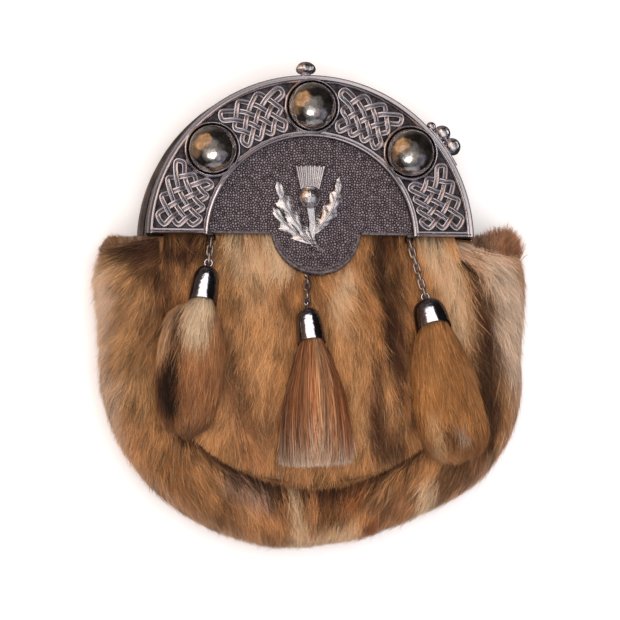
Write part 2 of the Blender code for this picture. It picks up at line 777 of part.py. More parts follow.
def covered(x, y):
    """Whether a place on the front lies under the tongue, a cap, a chain or a tassel."""
    if (x - TONGUE_X) ** 2 + (y - TONGUE_Y) ** 2 < (TONGUE_RADIUS + 5.0) ** 2:
        return True
    for tassel in TASSELS.values():
        if abs(x - tassel["mouth"][0]) < tassel["radius"] + 6.0 and tassel["sections"][0][0] <= y:
            return True
        rows = tassel["sections"]
        if rows[0][0] >= y >= rows[-1][0] - 3.0:
            if abs(x - blend(rows, y, 1)) < blend(rows, y, 2) + 5.0:
                return True
    return False


def make_gusset():
    bm = bmesh.new()
    stations = gusset_stations()
    previous = None
    for station in stations:
        section = [bm.verts.new(gusset_point(station, reach, height)) for reach, height in GUSSET_SECTION]
        if previous:
            for a, b, c, d in zip(previous, section, section[1:], previous[1:]):
                bm.faces.new((d, c, b, a))
        previous = section
    gusset = new_piece("gusset_fur", bm, fur)
    thicken(gusset, HIDE)
    fuse(gusset, new_piece("gusset_locks", gusset_locks(stations)), own=True)


def gusset_locks(stations):
    """Locks on the band's front and outer side, pointing outwards and down the pouch."""
    bm = bmesh.new()
    for index in range(1, len(stations) - 1):
        before, station, after = stations[index - 1], stations[index], stations[index + 1]
        for line, (start, end, share) in enumerate(((0, 1, 0.6), (1, 2, 0.7), (2, 3, 0.6))):
            if (index + line) % 2:
                continue
            root = section_point(station, start, end, share)
            outward = section_point(station, start, end, min(1.0, share + 0.1)) - root
            sweep = section_point(after, start, end, share) - section_point(before, start, end, share)
            if sweep.y > 0.0:
                sweep.negate()
            out = outward.cross(sweep).normalized()
            centre = Vector((0.0, BELLY_Y, WIDEST_Z))
            if out.dot(root - centre) < 0.0:
                out.negate()
            along = outward.normalized() * 0.75 + sweep.normalized() * 0.5
            add_lock(bm, root, along, out, GUSSET_LOCK)
    return bm


def section_point(station, start, end, share):
    first = gusset_point(station, *GUSSET_SECTION[start])
    last = gusset_point(station, *GUSSET_SECTION[end])
    return first.lerp(last, share)


# ---- tassels, caps and chains

def cap_axis(tassel):
    """Mouth centre and top of a tassel's cap, leaning back against the fur."""
    mouth_x, mouth_y = tassel["mouth"]
    top_x, top_y = tassel["top"]
    radius = tassel["radius"]
    low = max(front_height(mouth_x + side * radius * 0.6, mouth_y) for side in (-1.0, 0.0, 1.0))
    mouth = Vector((mouth_x, mouth_y, low + radius + 0.5))
    top = Vector((top_x, top_y, front_height(top_x, top_y) + tassel["top_rise"]))
    lift = 0.0
    for share, height in CAP_PROFILE:
        middle = mouth.lerp(top, height)
        for side in (-0.7, 0.0, 0.7):
            skin = front_height(middle.x + side * radius * share, middle.y)
            lift = max(lift, skin + radius * share * math.sqrt(1.0 - side * side) + 0.5 - middle.z)
    raised = Vector((0.0, 0.0, lift))
    return mouth + raised, top + raised


def chain_start(tassel):
    x, y = tassel["chain"]
    if tassel["hook"] == "cantle":
        return Vector((x, y, EYE_Z))
    return Vector((x, y, FIELD_Z + tongue_rise(y) - TUCK))


def make_cap(name, tassel):
    mouth, top = cap_axis(tassel)
    length = (top - mouth).length
    radius = tassel["radius"]
    profile = [(radius * share, length * height) for share, height in CAP_PROFILE]
    profile += [((radius - CAP_WALL) * share, length * height) for share, height in CAP_HOLLOW]
    cap = turned(f"tassel_cap_{name}", profile, CAP_SIDES, chrome)
    cap.rotation_mode = "QUATERNION"
    cap.rotation_quaternion = (top - mouth).to_track_quat("Z", "Y")
    cap.location = mouth * MM
    eye = bmesh.new()
    wire_ring(eye, 0.0, EYE_RADIUS, eye_matrix(tassel))
    fuse(cap, new_piece(f"cap_eye_{name}", eye))


def cap_eye_centre(tassel):
    mouth, top = cap_axis(tassel)
    return top + (top - mouth).normalized() * (EYE_RADIUS + WIRE * 0.2)


def eye_matrix(tassel):
    """The cap's eye stands across the last link of its chain."""
    flat = link_count(tassel) % 2 == (1 if tassel["hook"] == "cantle" else 0)
    return Matrix.Translation(cap_eye_centre(tassel)) @ link_frame(chain_line(tassel), flat)


def link_frame(axis, flat):
    """Local X along the axis; the ring's plane lies flat on the fur or stands up from it."""
    side = axis.cross(Vector((0.0, 0.0, 1.0))).normalized()
    up = side.cross(axis).normalized()
    columns = (axis, -side, up) if flat else (axis, up, side)
    return Matrix(columns).transposed().to_4x4()


def chain_line(tassel):
    return (cap_eye_centre(tassel) - chain_start(tassel)).normalized()


def chain_ends(tassel):
    start = chain_start(tassel)
    end = cap_eye_centre(tassel)
    line = chain_line(tassel)
    first = start + line * END_PLAY if tassel["hook"] == "cantle" else start
    return first, end - line * END_PLAY


def link_count(tassel):
    first, last = chain_ends(tassel)
    return round(((last - first).length - LINK_LAP) / LINK_PITCH)


def make_chain(name, tassel):
    """Oval links, each across its neighbours, fused where their wires bear on each other."""
    first, last = chain_ends(tassel)
    count = link_count(tassel)
    line = (last - first).normalized()
    pitch = ((last - first).length - LINK_LAP) / count
    radius = (LINK_WIDTH - WIRE) / 2.0
    half_straight = (pitch + LINK_LAP) / 2.0 - radius
    sets = (bmesh.new(), bmesh.new())
    for index in range(count):
        flat = (index % 2 == 1) if tassel["hook"] == "cantle" else (index % 2 == 0)
        centre = first + line * ((pitch + LINK_LAP) / 2.0 + index * pitch)
        place = Matrix.Translation(centre) @ link_frame(line, flat)
        wire_ring(sets[index % 2], half_straight, radius, place)
    chain = new_piece(f"chain_{name}", sets[0], chrome)
    fuse(chain, new_piece(f"chain_links_{name}", sets[1]))


def tassel_line(tassel):
    """Middle line and section sizes of a tassel, from its head inside the cap to its end."""
    mouth, top = cap_axis(tassel)
    axis = (top - mouth).normalized()
    head = tassel["radius"] - CAP_WALL - HEAD_PLAY
    line = [(mouth + axis * HEAD_DEPTH, head, head), (mouth - axis * 0.4, head, head)]
    for y, x, half_width, half_thickness in tassel["sections"]:
        rest = max(
            front_height(x + half_width * math.cos(turn), y + step) + half_thickness * math.sin(turn)
            for turn in (math.pi * count / 8.0 for count in range(9)) for step in (-3.0, 0.0, 3.0))
        line.append((Vector((x, y, rest + REST_GAP)), half_width, half_thickness))
    return line


def section_axes(line, index):
    before = line[max(0, index - 1)][0]
    after = line[min(len(line) - 1, index + 1)][0]
    if index <= 1:
        before, after = line[0][0], line[1][0]
    along = (after - before).normalized()
    side = along.cross(Vector((0.0, 0.0, 1.0))).normalized()
    return along, side, side.cross(along).normalized()


def make_tassel(name, tassel):
    """Hanging body of fur or hair, its head inside the cap."""
    line = tassel_line(tassel)
    bm = bmesh.new()
    previous = None
    for index, (middle, half_width, half_thickness) in enumerate(line):
        along, side, up = section_axes(line, index)
        ring = []
        for step in range(TASSEL_SIDES):
            angle = 2.0 * math.pi * step / TASSEL_SIDES
            across = side * half_width * math.cos(angle)
            ring.append(bm.verts.new(middle + across + up * half_thickness * math.sin(angle)))
        if previous:
            edges = [bm.edges.get((a, b)) for a, b in zip(previous, previous[1:] + previous[:1])]
            edges += [bm.edges.new(pair) for pair in zip(ring, ring[1:] + ring[:1])]
            bmesh.ops.bridge_loops(bm, edges=edges)
        else:
            for pair in zip(ring, ring[1:] + ring[:1]):
                bm.edges.new(pair)
        previous = ring
    bmesh.ops.holes_fill(bm, edges=[edge for edge in bm.edges if edge.is_boundary], sides=0)
    bmesh.ops.recalc_face_normals(bm, faces=bm.faces[:])
    body = new_piece(f"tassel_{name}", bm, hair if tassel["kind"] == "hair" else fur)
    fuse(body, new_piece(f"tassel_locks_{name}", tassel_locks(line)), own=True)


def tassel_locks(line):
    """Locks down the upper side of a tassel, with a fringe of them at its end."""
    bm = bmesh.new()
    for index in range(2, len(line) - 1):
        middle, half_width, half_thickness = line[index]
        along, side, up = section_axes(line, index)
        spread = (-0.75, 0.0, 0.75) if index % 2 else (-0.4, 0.4)
        for share in spread:
            angle = math.acos(share)
            out = (side * share / half_width + up * math.sin(angle) / half_thickness).normalized()
            root = middle + side * half_width * share + up * half_thickness * math.sin(angle)
            add_lock(bm, root, along + side * 0.12 * share, out, TASSEL_LOCK)
    return bm


# ---- thistle badge

def leaf_outline(base, tip, half_width, teeth, bend):
    """A leaf from base to tip with saw teeth down both edges."""
    base, tip = Vector(base), Vector(tip)
    along = tip - base
    side = Vector((-along.y, along.x)).normalized()
    points = {-1.0: [], 1.0: []}
    for edge in (-1.0, 1.0):
        for tooth in range(teeth):
            for share, reach in ((0.15, 0.45), (0.95, 1.0)):
                place = (tooth + share) / teeth
                swell = math.sin(math.pi * (0.12 + 0.80 * place)) * half_width * reach
                bow = side * bend * math.sin(math.pi * place)
                points[edge].append(base + along * place + bow + side * edge * swell)
    return [base] + points[1.0] + [tip] + points[-1.0][::-1]


def make_badge():
    """Thistle head, stem and three serrated leaves, cast as one."""
    badge = new_piece("thistle_badge", badge_leaf(*BADGE_LEAVES[0]), chrome)
    shapes = bmesh.new()
    for leaf in BADGE_LEAVES[1:]:
        absorb(shapes, badge_leaf(*leaf))
    stem = outline_plate(BADGE_STEM, BADGE_Z, BADGE_THICKNESS + 0.5)
    lift_tongue(stem)
    absorb(shapes, stem)
    base = Vector((BULB_X, BULB_Y, BADGE_Z + 1.5))
    ball(shapes, base, (BULB_RADIUS, BULB_RADIUS, BULB_RISE), 10, 6)
    for blade in range(TUFT_BLADES):
        spread = math.radians(TUFT_FAN * (blade - (TUFT_BLADES - 1) / 2.0))
        axis = Vector((math.sin(spread), math.cos(spread), 0.10)).normalized()
        turn = axis.to_track_quat("Z", "Y").to_matrix().to_4x4()
        place = Matrix.Translation(base + axis * TUFT_REACH) @ turn
        bmesh.ops.create_cone(shapes, cap_ends=True, segments=5, radius1=1.1, radius2=1.6,
                              depth=TUFT_LENGTH, matrix=place)
    fuse(badge, new_piece("badge_shapes", shapes), own=True)
    below = bmesh.new()
    block(below, (-30.0, 0.0, BADGE_Z - 9.0), (30.0, 40.0, BADGE_Z))
    trim = badge.modifiers.new("flat back", "BOOLEAN")
    trim.operation = "DIFFERENCE"
    trim.solver = "EXACT"
    trim.object = new_piece("badge_back", below)


def badge_leaf(base, tip, half_width, teeth, bend):
    plate = outline_plate(leaf_outline(base, tip, half_width, teeth, bend), BADGE_Z, BADGE_THICKNESS)
    lift_tongue(plate)
    return plate


def stand_on_floor():
    """Put the origin on the floor under the middle of the pouch."""
    graph = bpy.context.evaluated_depsgraph_get()
    corners = []
    for piece in parts.objects:
        shape = piece.evaluated_get(graph)
        corners += [shape.matrix_world @ vert.co for vert in shape.data.vertices]
    low = Vector([min(corner[axis] for corner in corners) for axis in range(3)])
    high = Vector([max(corner[axis] for corner in corners) for axis in range(3)])
    shift = -(low + high) / 2.0
    shift.z = -low.z
    for piece in list(parts.objects) + list(cutters.objects):
        piece.location += shift


clear_scene()
parts = new_collection(NAME)
cutters = new_collection("cutters")
chrome = make_material("chrome", (0.62, 0.62, 0.64), 0.12, 1.0)
dark_steel = make_material("dark_steel", (0.22, 0.22, 0.23), 0.3, 1.0)
leather = make_material("leather", (0.018, 0.018, 0.02), 0.45, 0.0)
fur = make_material("fur", (0.30, 0.16, 0.07), 0.9, 0.0)
hair = make_material("hair", (0.20, 0.09, 0.05), 0.8, 0.0)

make_cantle()
make_bosses()
make_back_frame()
make_top_knob()
make_side_clasp()
make_leather_panel()
make_badge()
make_back_panel()
make_strap_loops()
make_front_fur()
make_gusset()
for tassel_name, tassel_sizes in TASSELS.items():
    make_cap(tassel_name, tassel_sizes)
    make_chain(tassel_name, tassel_sizes)
    make_tassel(tassel_name, tassel_sizes)
stand_on_floor()
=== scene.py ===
import json
import math

import bmesh
import bpy
import numpy as np
from mathutils import Matrix, Vector

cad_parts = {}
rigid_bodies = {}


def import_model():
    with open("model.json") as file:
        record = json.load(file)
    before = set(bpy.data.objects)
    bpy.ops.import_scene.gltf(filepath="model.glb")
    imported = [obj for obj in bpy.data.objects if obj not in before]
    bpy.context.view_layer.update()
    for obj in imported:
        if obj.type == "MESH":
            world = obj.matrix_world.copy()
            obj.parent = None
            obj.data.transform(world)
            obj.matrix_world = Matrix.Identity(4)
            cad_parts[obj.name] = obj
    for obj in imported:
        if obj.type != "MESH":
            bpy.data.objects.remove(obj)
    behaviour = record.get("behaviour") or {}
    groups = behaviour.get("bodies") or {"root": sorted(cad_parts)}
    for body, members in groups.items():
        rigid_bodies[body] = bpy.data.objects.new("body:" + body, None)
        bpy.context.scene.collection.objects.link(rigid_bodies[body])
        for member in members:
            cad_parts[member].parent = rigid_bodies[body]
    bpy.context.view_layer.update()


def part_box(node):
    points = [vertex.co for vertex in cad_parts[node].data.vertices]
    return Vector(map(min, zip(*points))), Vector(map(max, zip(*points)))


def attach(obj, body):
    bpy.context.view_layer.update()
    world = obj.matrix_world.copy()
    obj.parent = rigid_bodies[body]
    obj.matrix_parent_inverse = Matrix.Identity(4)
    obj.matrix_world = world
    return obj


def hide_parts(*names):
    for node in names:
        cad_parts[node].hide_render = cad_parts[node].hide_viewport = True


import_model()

# Pieces are drawn in millimetres from the middle of the chord under the arch, then moved into the frame.
mm = 0.001
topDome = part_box("dome_boss_top")
chordX = (topDome[0].x + topDome[1].x) / 2
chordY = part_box("frame_back")[0].y
toFrame = Matrix.Translation((chordX, chordY, 0.0)) @ Matrix.Scale(mm, 4)

arch = {
    "centreY": -2.0, "outer": 74.5, "inner": 46.6, "pitch": 60.1, "spread": 48.5,
    "groundZ": 31.5, "backZ": 29.3, "partingZ": 20.85, "steps": 120,
}
gap = 0.3   # left between castings that lie on each other


def hexLinear(code):
    parts = [int(code[start:start + 2], 16) / 255 for start in (0, 2, 4)]
    return tuple(part / 12.92 if part <= 0.04045 else ((part + 0.055) / 1.055) ** 2.4 for part in parts)


def addNode(material, kind, settings=None, links=None):
    node = material.node_tree.nodes.new("ShaderNode" + kind)
    for key, value in (settings or {}).items():
        if key == "stops":
            for index, (place, code) in enumerate(value):
                stops = node.color_ramp.elements
                stop = stops[index] if index < 2 else stops.new(place)
                stop.position = place
                stop.color = (*hexLinear(code), 1.0)
        elif isinstance(key, str) and hasattr(node, key):
            setattr(node, key, value)
        else:
            node.inputs[key].default_value = value
    for key, source in (links or {}).items():
        material.node_tree.links.new(source, node.inputs[key])
    return node


def makeMaterial(name, shine, nodes, plugs):
    # each node is a name, a kind, its settings, and for each linked input an earlier node and its output
    material = bpy.data.materials.new(name)
    material.use_nodes = True
    shader = material.node_tree.nodes["Principled BSDF"]
    for socket, value in shine.items():
        shader.inputs[socket].default_value = value
    made = {}
    for label, kind, settings, links in nodes:
        sources = {key: made[node].outputs[output] for key, (node, output) in links.items()}
        made[label] = addNode(material, kind, settings, sources)
    for socket, (node, output) in plugs.items():
        material.node_tree.links.new(made[node].outputs[output], shader.inputs[socket])
    return material


def makePiece(name, bm, materials, stands=(), sharp=38.0):
    bmesh.ops.transform(bm, matrix=toFrame, verts=bm.verts[:])
    mesh = bpy.data.meshes.new(name)
    bm.to_mesh(mesh)
    bm.free()
    return dressMesh(name, mesh, materials, stands, sharp)


def dressMesh(name, mesh, materials, stands=(), sharp=38.0):
    piece = bpy.data.objects.new(name, mesh)
    bpy.context.scene.collection.objects.link(piece)
    for material in materials:
        mesh.materials.append(material)
    mesh.shade_smooth()
    mesh.set_sharp_from_angle(angle=math.radians(sharp))
    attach(piece, "root")
    if stands:
        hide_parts(*stands)
    return piece


def joinShapes(target, source):
    mesh = bpy.data.meshes.new("shapes")
    source.to_mesh(mesh)
    source.free()
    target.from_mesh(mesh)
    bpy.data.meshes.remove(mesh)


def faceOutwards(bm):
    bmesh.ops.recalc_face_normals(bm, faces=bm.faces[:])


def faceTowards(bm, side):
    # turns an open sheet over if its faces look down where they should look up, or the other way
    if side * sum(face.normal.z for face in bm.faces) < 0:
        bmesh.ops.reverse_faces(bm, faces=bm.faces[:])


def closeEnds(bm):
    bmesh.ops.holes_fill(bm, edges=[edge for edge in bm.edges if edge.is_boundary], sides=0)
    faceOutwards(bm)


def moveNew(bm, made, shift):
    verts = [item for item in made["geom"] if isinstance(item, bmesh.types.BMVert)]
    bmesh.ops.translate(bm, verts=verts, vec=shift)


def addWall(piece, thickness, offset=-1.0):
    wall = piece.modifiers.new("wall", "SOLIDIFY")
    wall.thickness = thickness * mm
    wall.offset = offset


def archPoint(radius, degrees, z=0.0):
    turn = math.radians(degrees)
    return Vector((radius * math.cos(turn), arch["centreY"] + radius * math.sin(turn), z))


def sweepArch(profile, startDegrees=-6.0, endDegrees=186.0, steps=None):
    # a closed profile of radius and height, swept round the arch, and squared off at the feet of a full one
    bm = bmesh.new()
    ring = [bm.verts.new((radius, arch["centreY"], z)) for radius, z in profile]
    edges = [bm.edges.new(pair) for pair in zip(ring, ring[1:] + ring[:1])]
    centre = (0.0, arch["centreY"], 0.0)
    start = Matrix.Rotation(math.radians(startDegrees), 3, "Z")
    bmesh.ops.rotate(bm, verts=ring, cent=centre, matrix=start)
    bmesh.ops.spin(bm, geom=ring + edges, cent=centre, axis=(0.0, 0.0, 1.0),
                   angle=math.radians(endDegrees - startDegrees), steps=steps or arch["steps"])
    if startDegrees < 0.0:
        everything = bm.verts[:] + bm.edges[:] + bm.faces[:]
        bmesh.ops.bisect_plane(bm, geom=everything, plane_co=(0, 0, 0), plane_no=(0, 1, 0), clear_inner=True)
    closeEnds(bm)
    return bm


def spinProfile(profile, steps, matrix=Matrix.Identity(4)):
    # a profile of radius and height turned once round the Z axis
    bm = bmesh.new()
    verts = [bm.verts.new((radius, 0.0, z)) for radius, z in profile]
    edges = [bm.edges.new(pair) for pair in zip(verts, verts[1:])]
    bmesh.ops.spin(bm, geom=verts + edges, cent=(0, 0, 0), axis=(0, 0, 1), angle=2 * math.pi,
                   steps=steps, use_merge=True)
    bmesh.ops.remove_doubles(bm, verts=bm.verts[:], dist=0.0005)
    faceOutwards(bm)
    bmesh.ops.transform(bm, matrix=matrix, verts=bm.verts[:])
    return bm


def curveMesh(curve):
    guide = bpy.data.objects.new("guide", curve)
    bpy.context.scene.collection.objects.link(guide)
    graph = bpy.context.evaluated_depsgraph_get()
    mesh = bpy.data.meshes.new_from_object(guide.evaluated_get(graph))
    bm = bmesh.new()
    bm.from_mesh(mesh)
    bpy.data.objects.remove(guide)
    bpy.data.meshes.remove(mesh)
    bpy.data.curves.remove(curve)
    bmesh.ops.remove_doubles(bm, verts=bm.verts[:], dist=0.0005)
    faceOutwards(bm)
    return bm


def sweepWire(points, radius, cyclic=False, roundness=2, section=None):
    # a round wire along the points, or a ribbon of the given cross-section
    wire = bpy.data.curves.new("wire", "CURVE")
    wire.dimensions = "3D"
    wire.twist_mode = "Z_UP"
    if section is None:
        wire.bevel_depth = radius
        wire.bevel_resolution = roundness
    else:
        shape = bpy.data.curves.new("section", "CURVE")
        outline = shape.splines.new("POLY")
        outline.points.add(len(section) - 1)
        for place, (across, up) in zip(outline.points, section):
            place.co = (across, up, 0.0, 1.0)
        outline.use_cyclic_u = True
        guide = bpy.data.objects.new("section", shape)
        bpy.context.scene.collection.objects.link(guide)
        wire.bevel_mode = "OBJECT"
        wire.bevel_object = guide
    wire.use_fill_caps = not cyclic
    spline = wire.splines.new("POLY")
    spline.points.add(len(points) - 1)
    for place, point in zip(spline.points, points):
        place.co = (*point, 1.0)
    spline.use_cyclic_u = cyclic
    bm = curveMesh(wire)
    if section is not None:
        bpy.data.objects.remove(guide)
        bpy.data.curves.remove(shape)
    return bm


def smoothPath(points, pieces, cyclic=False):
    # Catmull-Rom through the points
    count = len(points)
    path = []
    for index in range(count if cyclic else count - 1):
        around = [points[(index + step) % count] if cyclic else points[min(max(index + step, 0), count - 1)]
                  for step in (-1, 0, 1, 2)]
        a, b, c, d = (Vector(point) for point in around)
        for step in range(pieces):
            t = step / pieces
            path.append(0.5 * (2 * b + (c - a) * t + (2 * a - 5 * b + 4 * c - d) * t * t
                               + (3 * b - a - 3 * c + d) * t ** 3))
    if not cyclic:
        path.append(Vector(points[-1]))
    return path


# what each colour reads its pattern from, and where the finished look goes
objectPlace = ("place", "TexCoord", {}, {})
onPlace = {"Vector": ("place", "Object")}
fullLook = {"Base Color": ("tone", "Color"), "Roughness": ("rough", "Result"), "Normal": ("bump", "Normal")}
evenGloss = {"Base Color": ("tone", "Color"), "Normal": ("bump", "Normal")}


def makeCastChrome():
    # chrome plate on cast white metal: bright on the raised work, rougher where it sinks to the ground, with
    # painted shade darkening the ground between the raised work
    ground = arch["groundZ"]
    return makeMaterial("castChromePlate", {"Metallic": 1.0}, (
        objectPlace,
        ("height", "SeparateXYZ", {}, onPlace),
        ("rise", "MapRange", {"From Min": (ground - 0.1) * mm, "From Max": (ground + 1.0) * mm},
         {"Value": ("height", "Z")}),
        ("skirt", "MapRange",
         {"From Min": (ground - 1.0) * mm, "From Max": (ground - 2.2) * mm, "To Max": 0.6},
         {"Value": ("height", "Z")}),
        ("raised", "Math", {"operation": "MAXIMUM"}, {0: ("rise", "Result"), 1: ("skirt", "Result")}),
        ("grime", "TexNoise", {"Scale": 420.0, "Detail": 3.0}, onPlace),
        ("mottled", "Math", {"operation": "MULTIPLY_ADD", 1: 0.35, 2: -0.17}, {0: ("grime", "Fac")}),
        ("polishAndShade", "Math", {"operation": "ADD", "use_clamp": True},
         {0: ("raised", "Value"), 1: ("mottled", "Value")}),
        # painted shade: the tone falls to near black where the casting is low, as shade in its recesses
        ("tone", "ValToRGB", {"stops": ((0.0, "1a171b"), (1.0, "d2cdd4"), (0.45, "a7a0aa"))},
         {"Fac": ("polishAndShade", "Value")}),
        ("rough", "MapRange", {"To Min": 0.5, "To Max": 0.24}, {"Value": ("polishAndShade", "Value")}),
        ("ripple", "TexNoise", {"Scale": 900.0, "Detail": 2.0}, onPlace),
        ("bump", "Bump", {"Strength": 0.25, "Distance": 0.00012}, {"Height": ("ripple", "Fac")}),
    ), fullLook)


def makeBrightChrome(name, codes, haze, dent, dentSize):
    # hard bright chrome, buffed by hand: a mirror with finger haze that shallow dents pull out of shape
    return makeMaterial(name, {"Metallic": 1.0}, (
        objectPlace,
        ("cloud", "TexNoise", {"Scale": 160.0, "Detail": 4.0}, onPlace),
        ("tone", "ValToRGB", {"stops": ((0.3, codes[0]), (0.8, codes[1]))}, {"Fac": ("cloud", "Fac")}),
        ("rough", "MapRange", {"To Min": haze, "To Max": haze + 0.07}, {"Value": ("cloud", "Fac")}),
        ("dents", "TexNoise", {"Scale": 1.0 / (dentSize * mm), "Detail": 2.0}, onPlace),
        ("bump", "Bump", {"Strength": dent, "Distance": 0.0006}, {"Height": ("dents", "Fac")}),
    ), fullLook)


def makeDarkPlate():
    # worn nickel on the back half frame: grey-brown, brushed along the band by years of handling
    return makeMaterial("wornNickelPlate", {"Metallic": 1.0}, (
        objectPlace,
        ("cloud", "TexNoise", {"Scale": 90.0, "Detail": 5.0, "Roughness": 0.6}, onPlace),
        ("tone", "ValToRGB", {"stops": ((0.3, "57504e"), (0.75, "968c87"))}, {"Fac": ("cloud", "Fac")}),
        ("rough", "MapRange", {"To Min": 0.3, "To Max": 0.5}, {"Value": ("cloud", "Fac")}),
    ), {"Base Color": ("tone", "Color"), "Roughness": ("rough", "Result")})


def makePebbleLeather(name, grain, codes, depth):
    # cowhide pressed with a pebble grain: glossy tops packed close, with dull creases between them; the tops
    # are painted paler as a painted highlight and the creases darker as painted shade
    return makeMaterial(name, {"Specular IOR Level": 0.55}, (
        objectPlace,
        ("sway", "TexNoise", {"Scale": 0.4 / (grain * mm), "Detail": 3.0}, onPlace),
        ("pebble", "TexVoronoi", {"voronoi_dimensions": "2D", "feature": "DISTANCE_TO_EDGE",
                                            "Scale": 1.0 / (grain * mm), "Randomness": 0.9}, onPlace),
        ("worn", "Math", {"operation": "MULTIPLY_ADD", 1: 0.26, 2: -0.13}, {0: ("sway", "Fac")}),
        ("level", "Math", {"operation": "ADD"}, {0: ("pebble", "Distance"), 1: ("worn", "Value")}),
        # painted highlight on the grain's tops and painted shade in its creases: the tone runs from the dark
        # colour in the creases to the pale one on the tops
        ("tone", "ValToRGB", {"stops": ((0.02, codes[0]), (0.40, codes[2]), (0.18, codes[1]))},
         {"Fac": ("level", "Value")}),
        ("rough", "MapRange", {"From Min": 0.0, "From Max": 0.35, "To Min": 0.62, "To Max": 0.26},
         {"Value": ("pebble", "Distance")}),
        ("crown", "MapRange", {"interpolation_type": "SMOOTHSTEP", "From Min": 0.0, "From Max": 0.34},
         {"Value": ("pebble", "Distance")}),
        ("bump", "Bump", {"Strength": 0.8, "Distance": depth * mm}, {"Height": ("crown", "Result")}),
    ), fullLook)


def makeEdgeLeather():
    # turned and burnished leather edge: smoother and greyer than the grain, with fine wrinkles
    return makeMaterial("burnishedLeatherEdge", {"Specular IOR Level": 0.5, "Roughness": 0.42}, (
        objectPlace,
        ("wrinkle", "TexNoise", {"Scale": 700.0, "Detail": 4.0}, onPlace),
        ("tone", "ValToRGB", {"stops": ((0.3, "3a3537"), (0.75, "7d7577"))},
         {"Fac": ("wrinkle", "Fac")}),
        ("bump", "Bump", {"Strength": 0.5, "Distance": 0.00015}, {"Height": ("wrinkle", "Fac")}),
    ), evenGloss)


def makeThread():
    # waxed linen thread: dull, nearly black, with the twist of its two strands
    return makeMaterial("waxedLinenThread", {"Roughness": 0.7}, (
        objectPlace,
        ("twist", "TexWave", {"Scale": 900.0, "Distortion": 1.0}, onPlace),
        ("tone", "ValToRGB", {"stops": ((0.2, "1d1a1a"), (0.9, "4a4340"))}, {"Fac": ("twist", "Fac")}),
    ), {"Base Color": ("tone", "Color")})


def makeUnderfur():
    # the pelt's dense underfur: matt, greyish brown, seen only as depth between the guard hairs
    return makeMaterial("denseUnderfur", {"Roughness": 1.0, "Specular IOR Level": 0.1}, (
        objectPlace,
        ("fluff", "TexNoise", {"Scale": 260.0, "Detail": 6.0, "Roughness": 0.7}, onPlace),
        ("tone", "ValToRGB", {"stops": ((0.3, "4a3222"), (0.75, "86603f"))}, {"Fac": ("fluff", "Fac")}),
        ("bump", "Bump", {"Strength": 1.0, "Distance": 0.0006}, {"Height": ("fluff", "Fac")}),
    ), evenGloss)


def makeHair(name, paintedRootShade, roughness):
    # single hairs: the colour is the animal's own marking, with painted shade darkening each hair towards its
    # root, lighter towards the tip
    shine = {"Roughness": roughness, "Specular IOR Level": 0.25, "Sheen Weight": 0.04, "Sheen Roughness": 0.6}
    return makeMaterial(name, shine, (
        ("marking", "Attribute", {"attribute_name": "marking"}, {}),
        ("strand", "UVMap", {"uv_map": "strand"}, {}),
        ("along", "SeparateXYZ", {}, {"Vector": ("strand", "UV")}),
        # painted shade: each hair's colour darkens towards its root, as shade deep in the fur
        ("shade", "MapRange", {"From Max": 0.75, "To Min": paintedRootShade}, {"Value": ("along", "Y")}),
        ("grey", "CombineXYZ", {}, {axis: ("shade", "Result") for axis in range(3)}),
        ("tone", "Mix", {"data_type": "RGBA", "blend_type": "MULTIPLY", 0: 1.0},
         {6: ("marking", "Color"), 7: ("grey", "Vector")}),
    ), {"Base Color": ("tone", 2)})


def makePaper():
    # smooth white backdrop paper with the faintest tooth, lit through a little so that it stays white
    shine = {"Roughness": 0.9, "Specular IOR Level": 0.2, "Emission Color": (1.0, 1.0, 1.0, 1.0),
             "Emission Strength": 0.22}
    return makeMaterial("backdropPaper", shine, (
        objectPlace,
        ("tooth", "TexNoise", {"Scale": 60.0, "Detail": 4.0}, onPlace),
        ("tone", "ValToRGB", {"stops": ((0.2, "f4f1f2"), (0.8, "fbf9fa"))}, {"Fac": ("tooth", "Fac")}),
    ), {"Base Color": ("tone", "Color")})


print("materials")
castChrome = makeCastChrome()
domeNickel = makeBrightChrome("buffedNickelDome", ("b0aaa4", "e4e2e0"), 0.1, 0.8, 6.0)
# the caps' chrome is a darkened copy of the bright chrome, painted shade on their sides; the capWindow lamp
# gives their highlight
shadedCapChrome = makeBrightChrome("blackChromeCap", ("6e6a6e", "8a868c"), 0.1, 0.3, 3.0)
wornChrome = makeBrightChrome("wornChromeTrim", ("aaa4a8", "e4e2e0"), 0.27, 0.4, 1.6)
badgeChrome = makeBrightChrome("castThistleChrome", ("d8d4da", "f0eef0"), 0.22, 0.45, 1.4)
darkPlate = makeDarkPlate()
pebbleLeather = makePebbleLeather("pebbleGrainLeather", 1.15, ("0f0c0e", "4a4046", "8d8188"), 0.22)
backLeather = makePebbleLeather("softBackLeather", 0.9, ("120f10", "2a2524", "3c3635"), 0.1)
edgeLeather = makeEdgeLeather()
thread = makeThread()
underfur = makeUnderfur()
furHair = makeHair("guardHair", 0.26, 0.55)
tailHair = makeHair("coarseTailHair", 0.55, 0.45)
paper = makePaper()

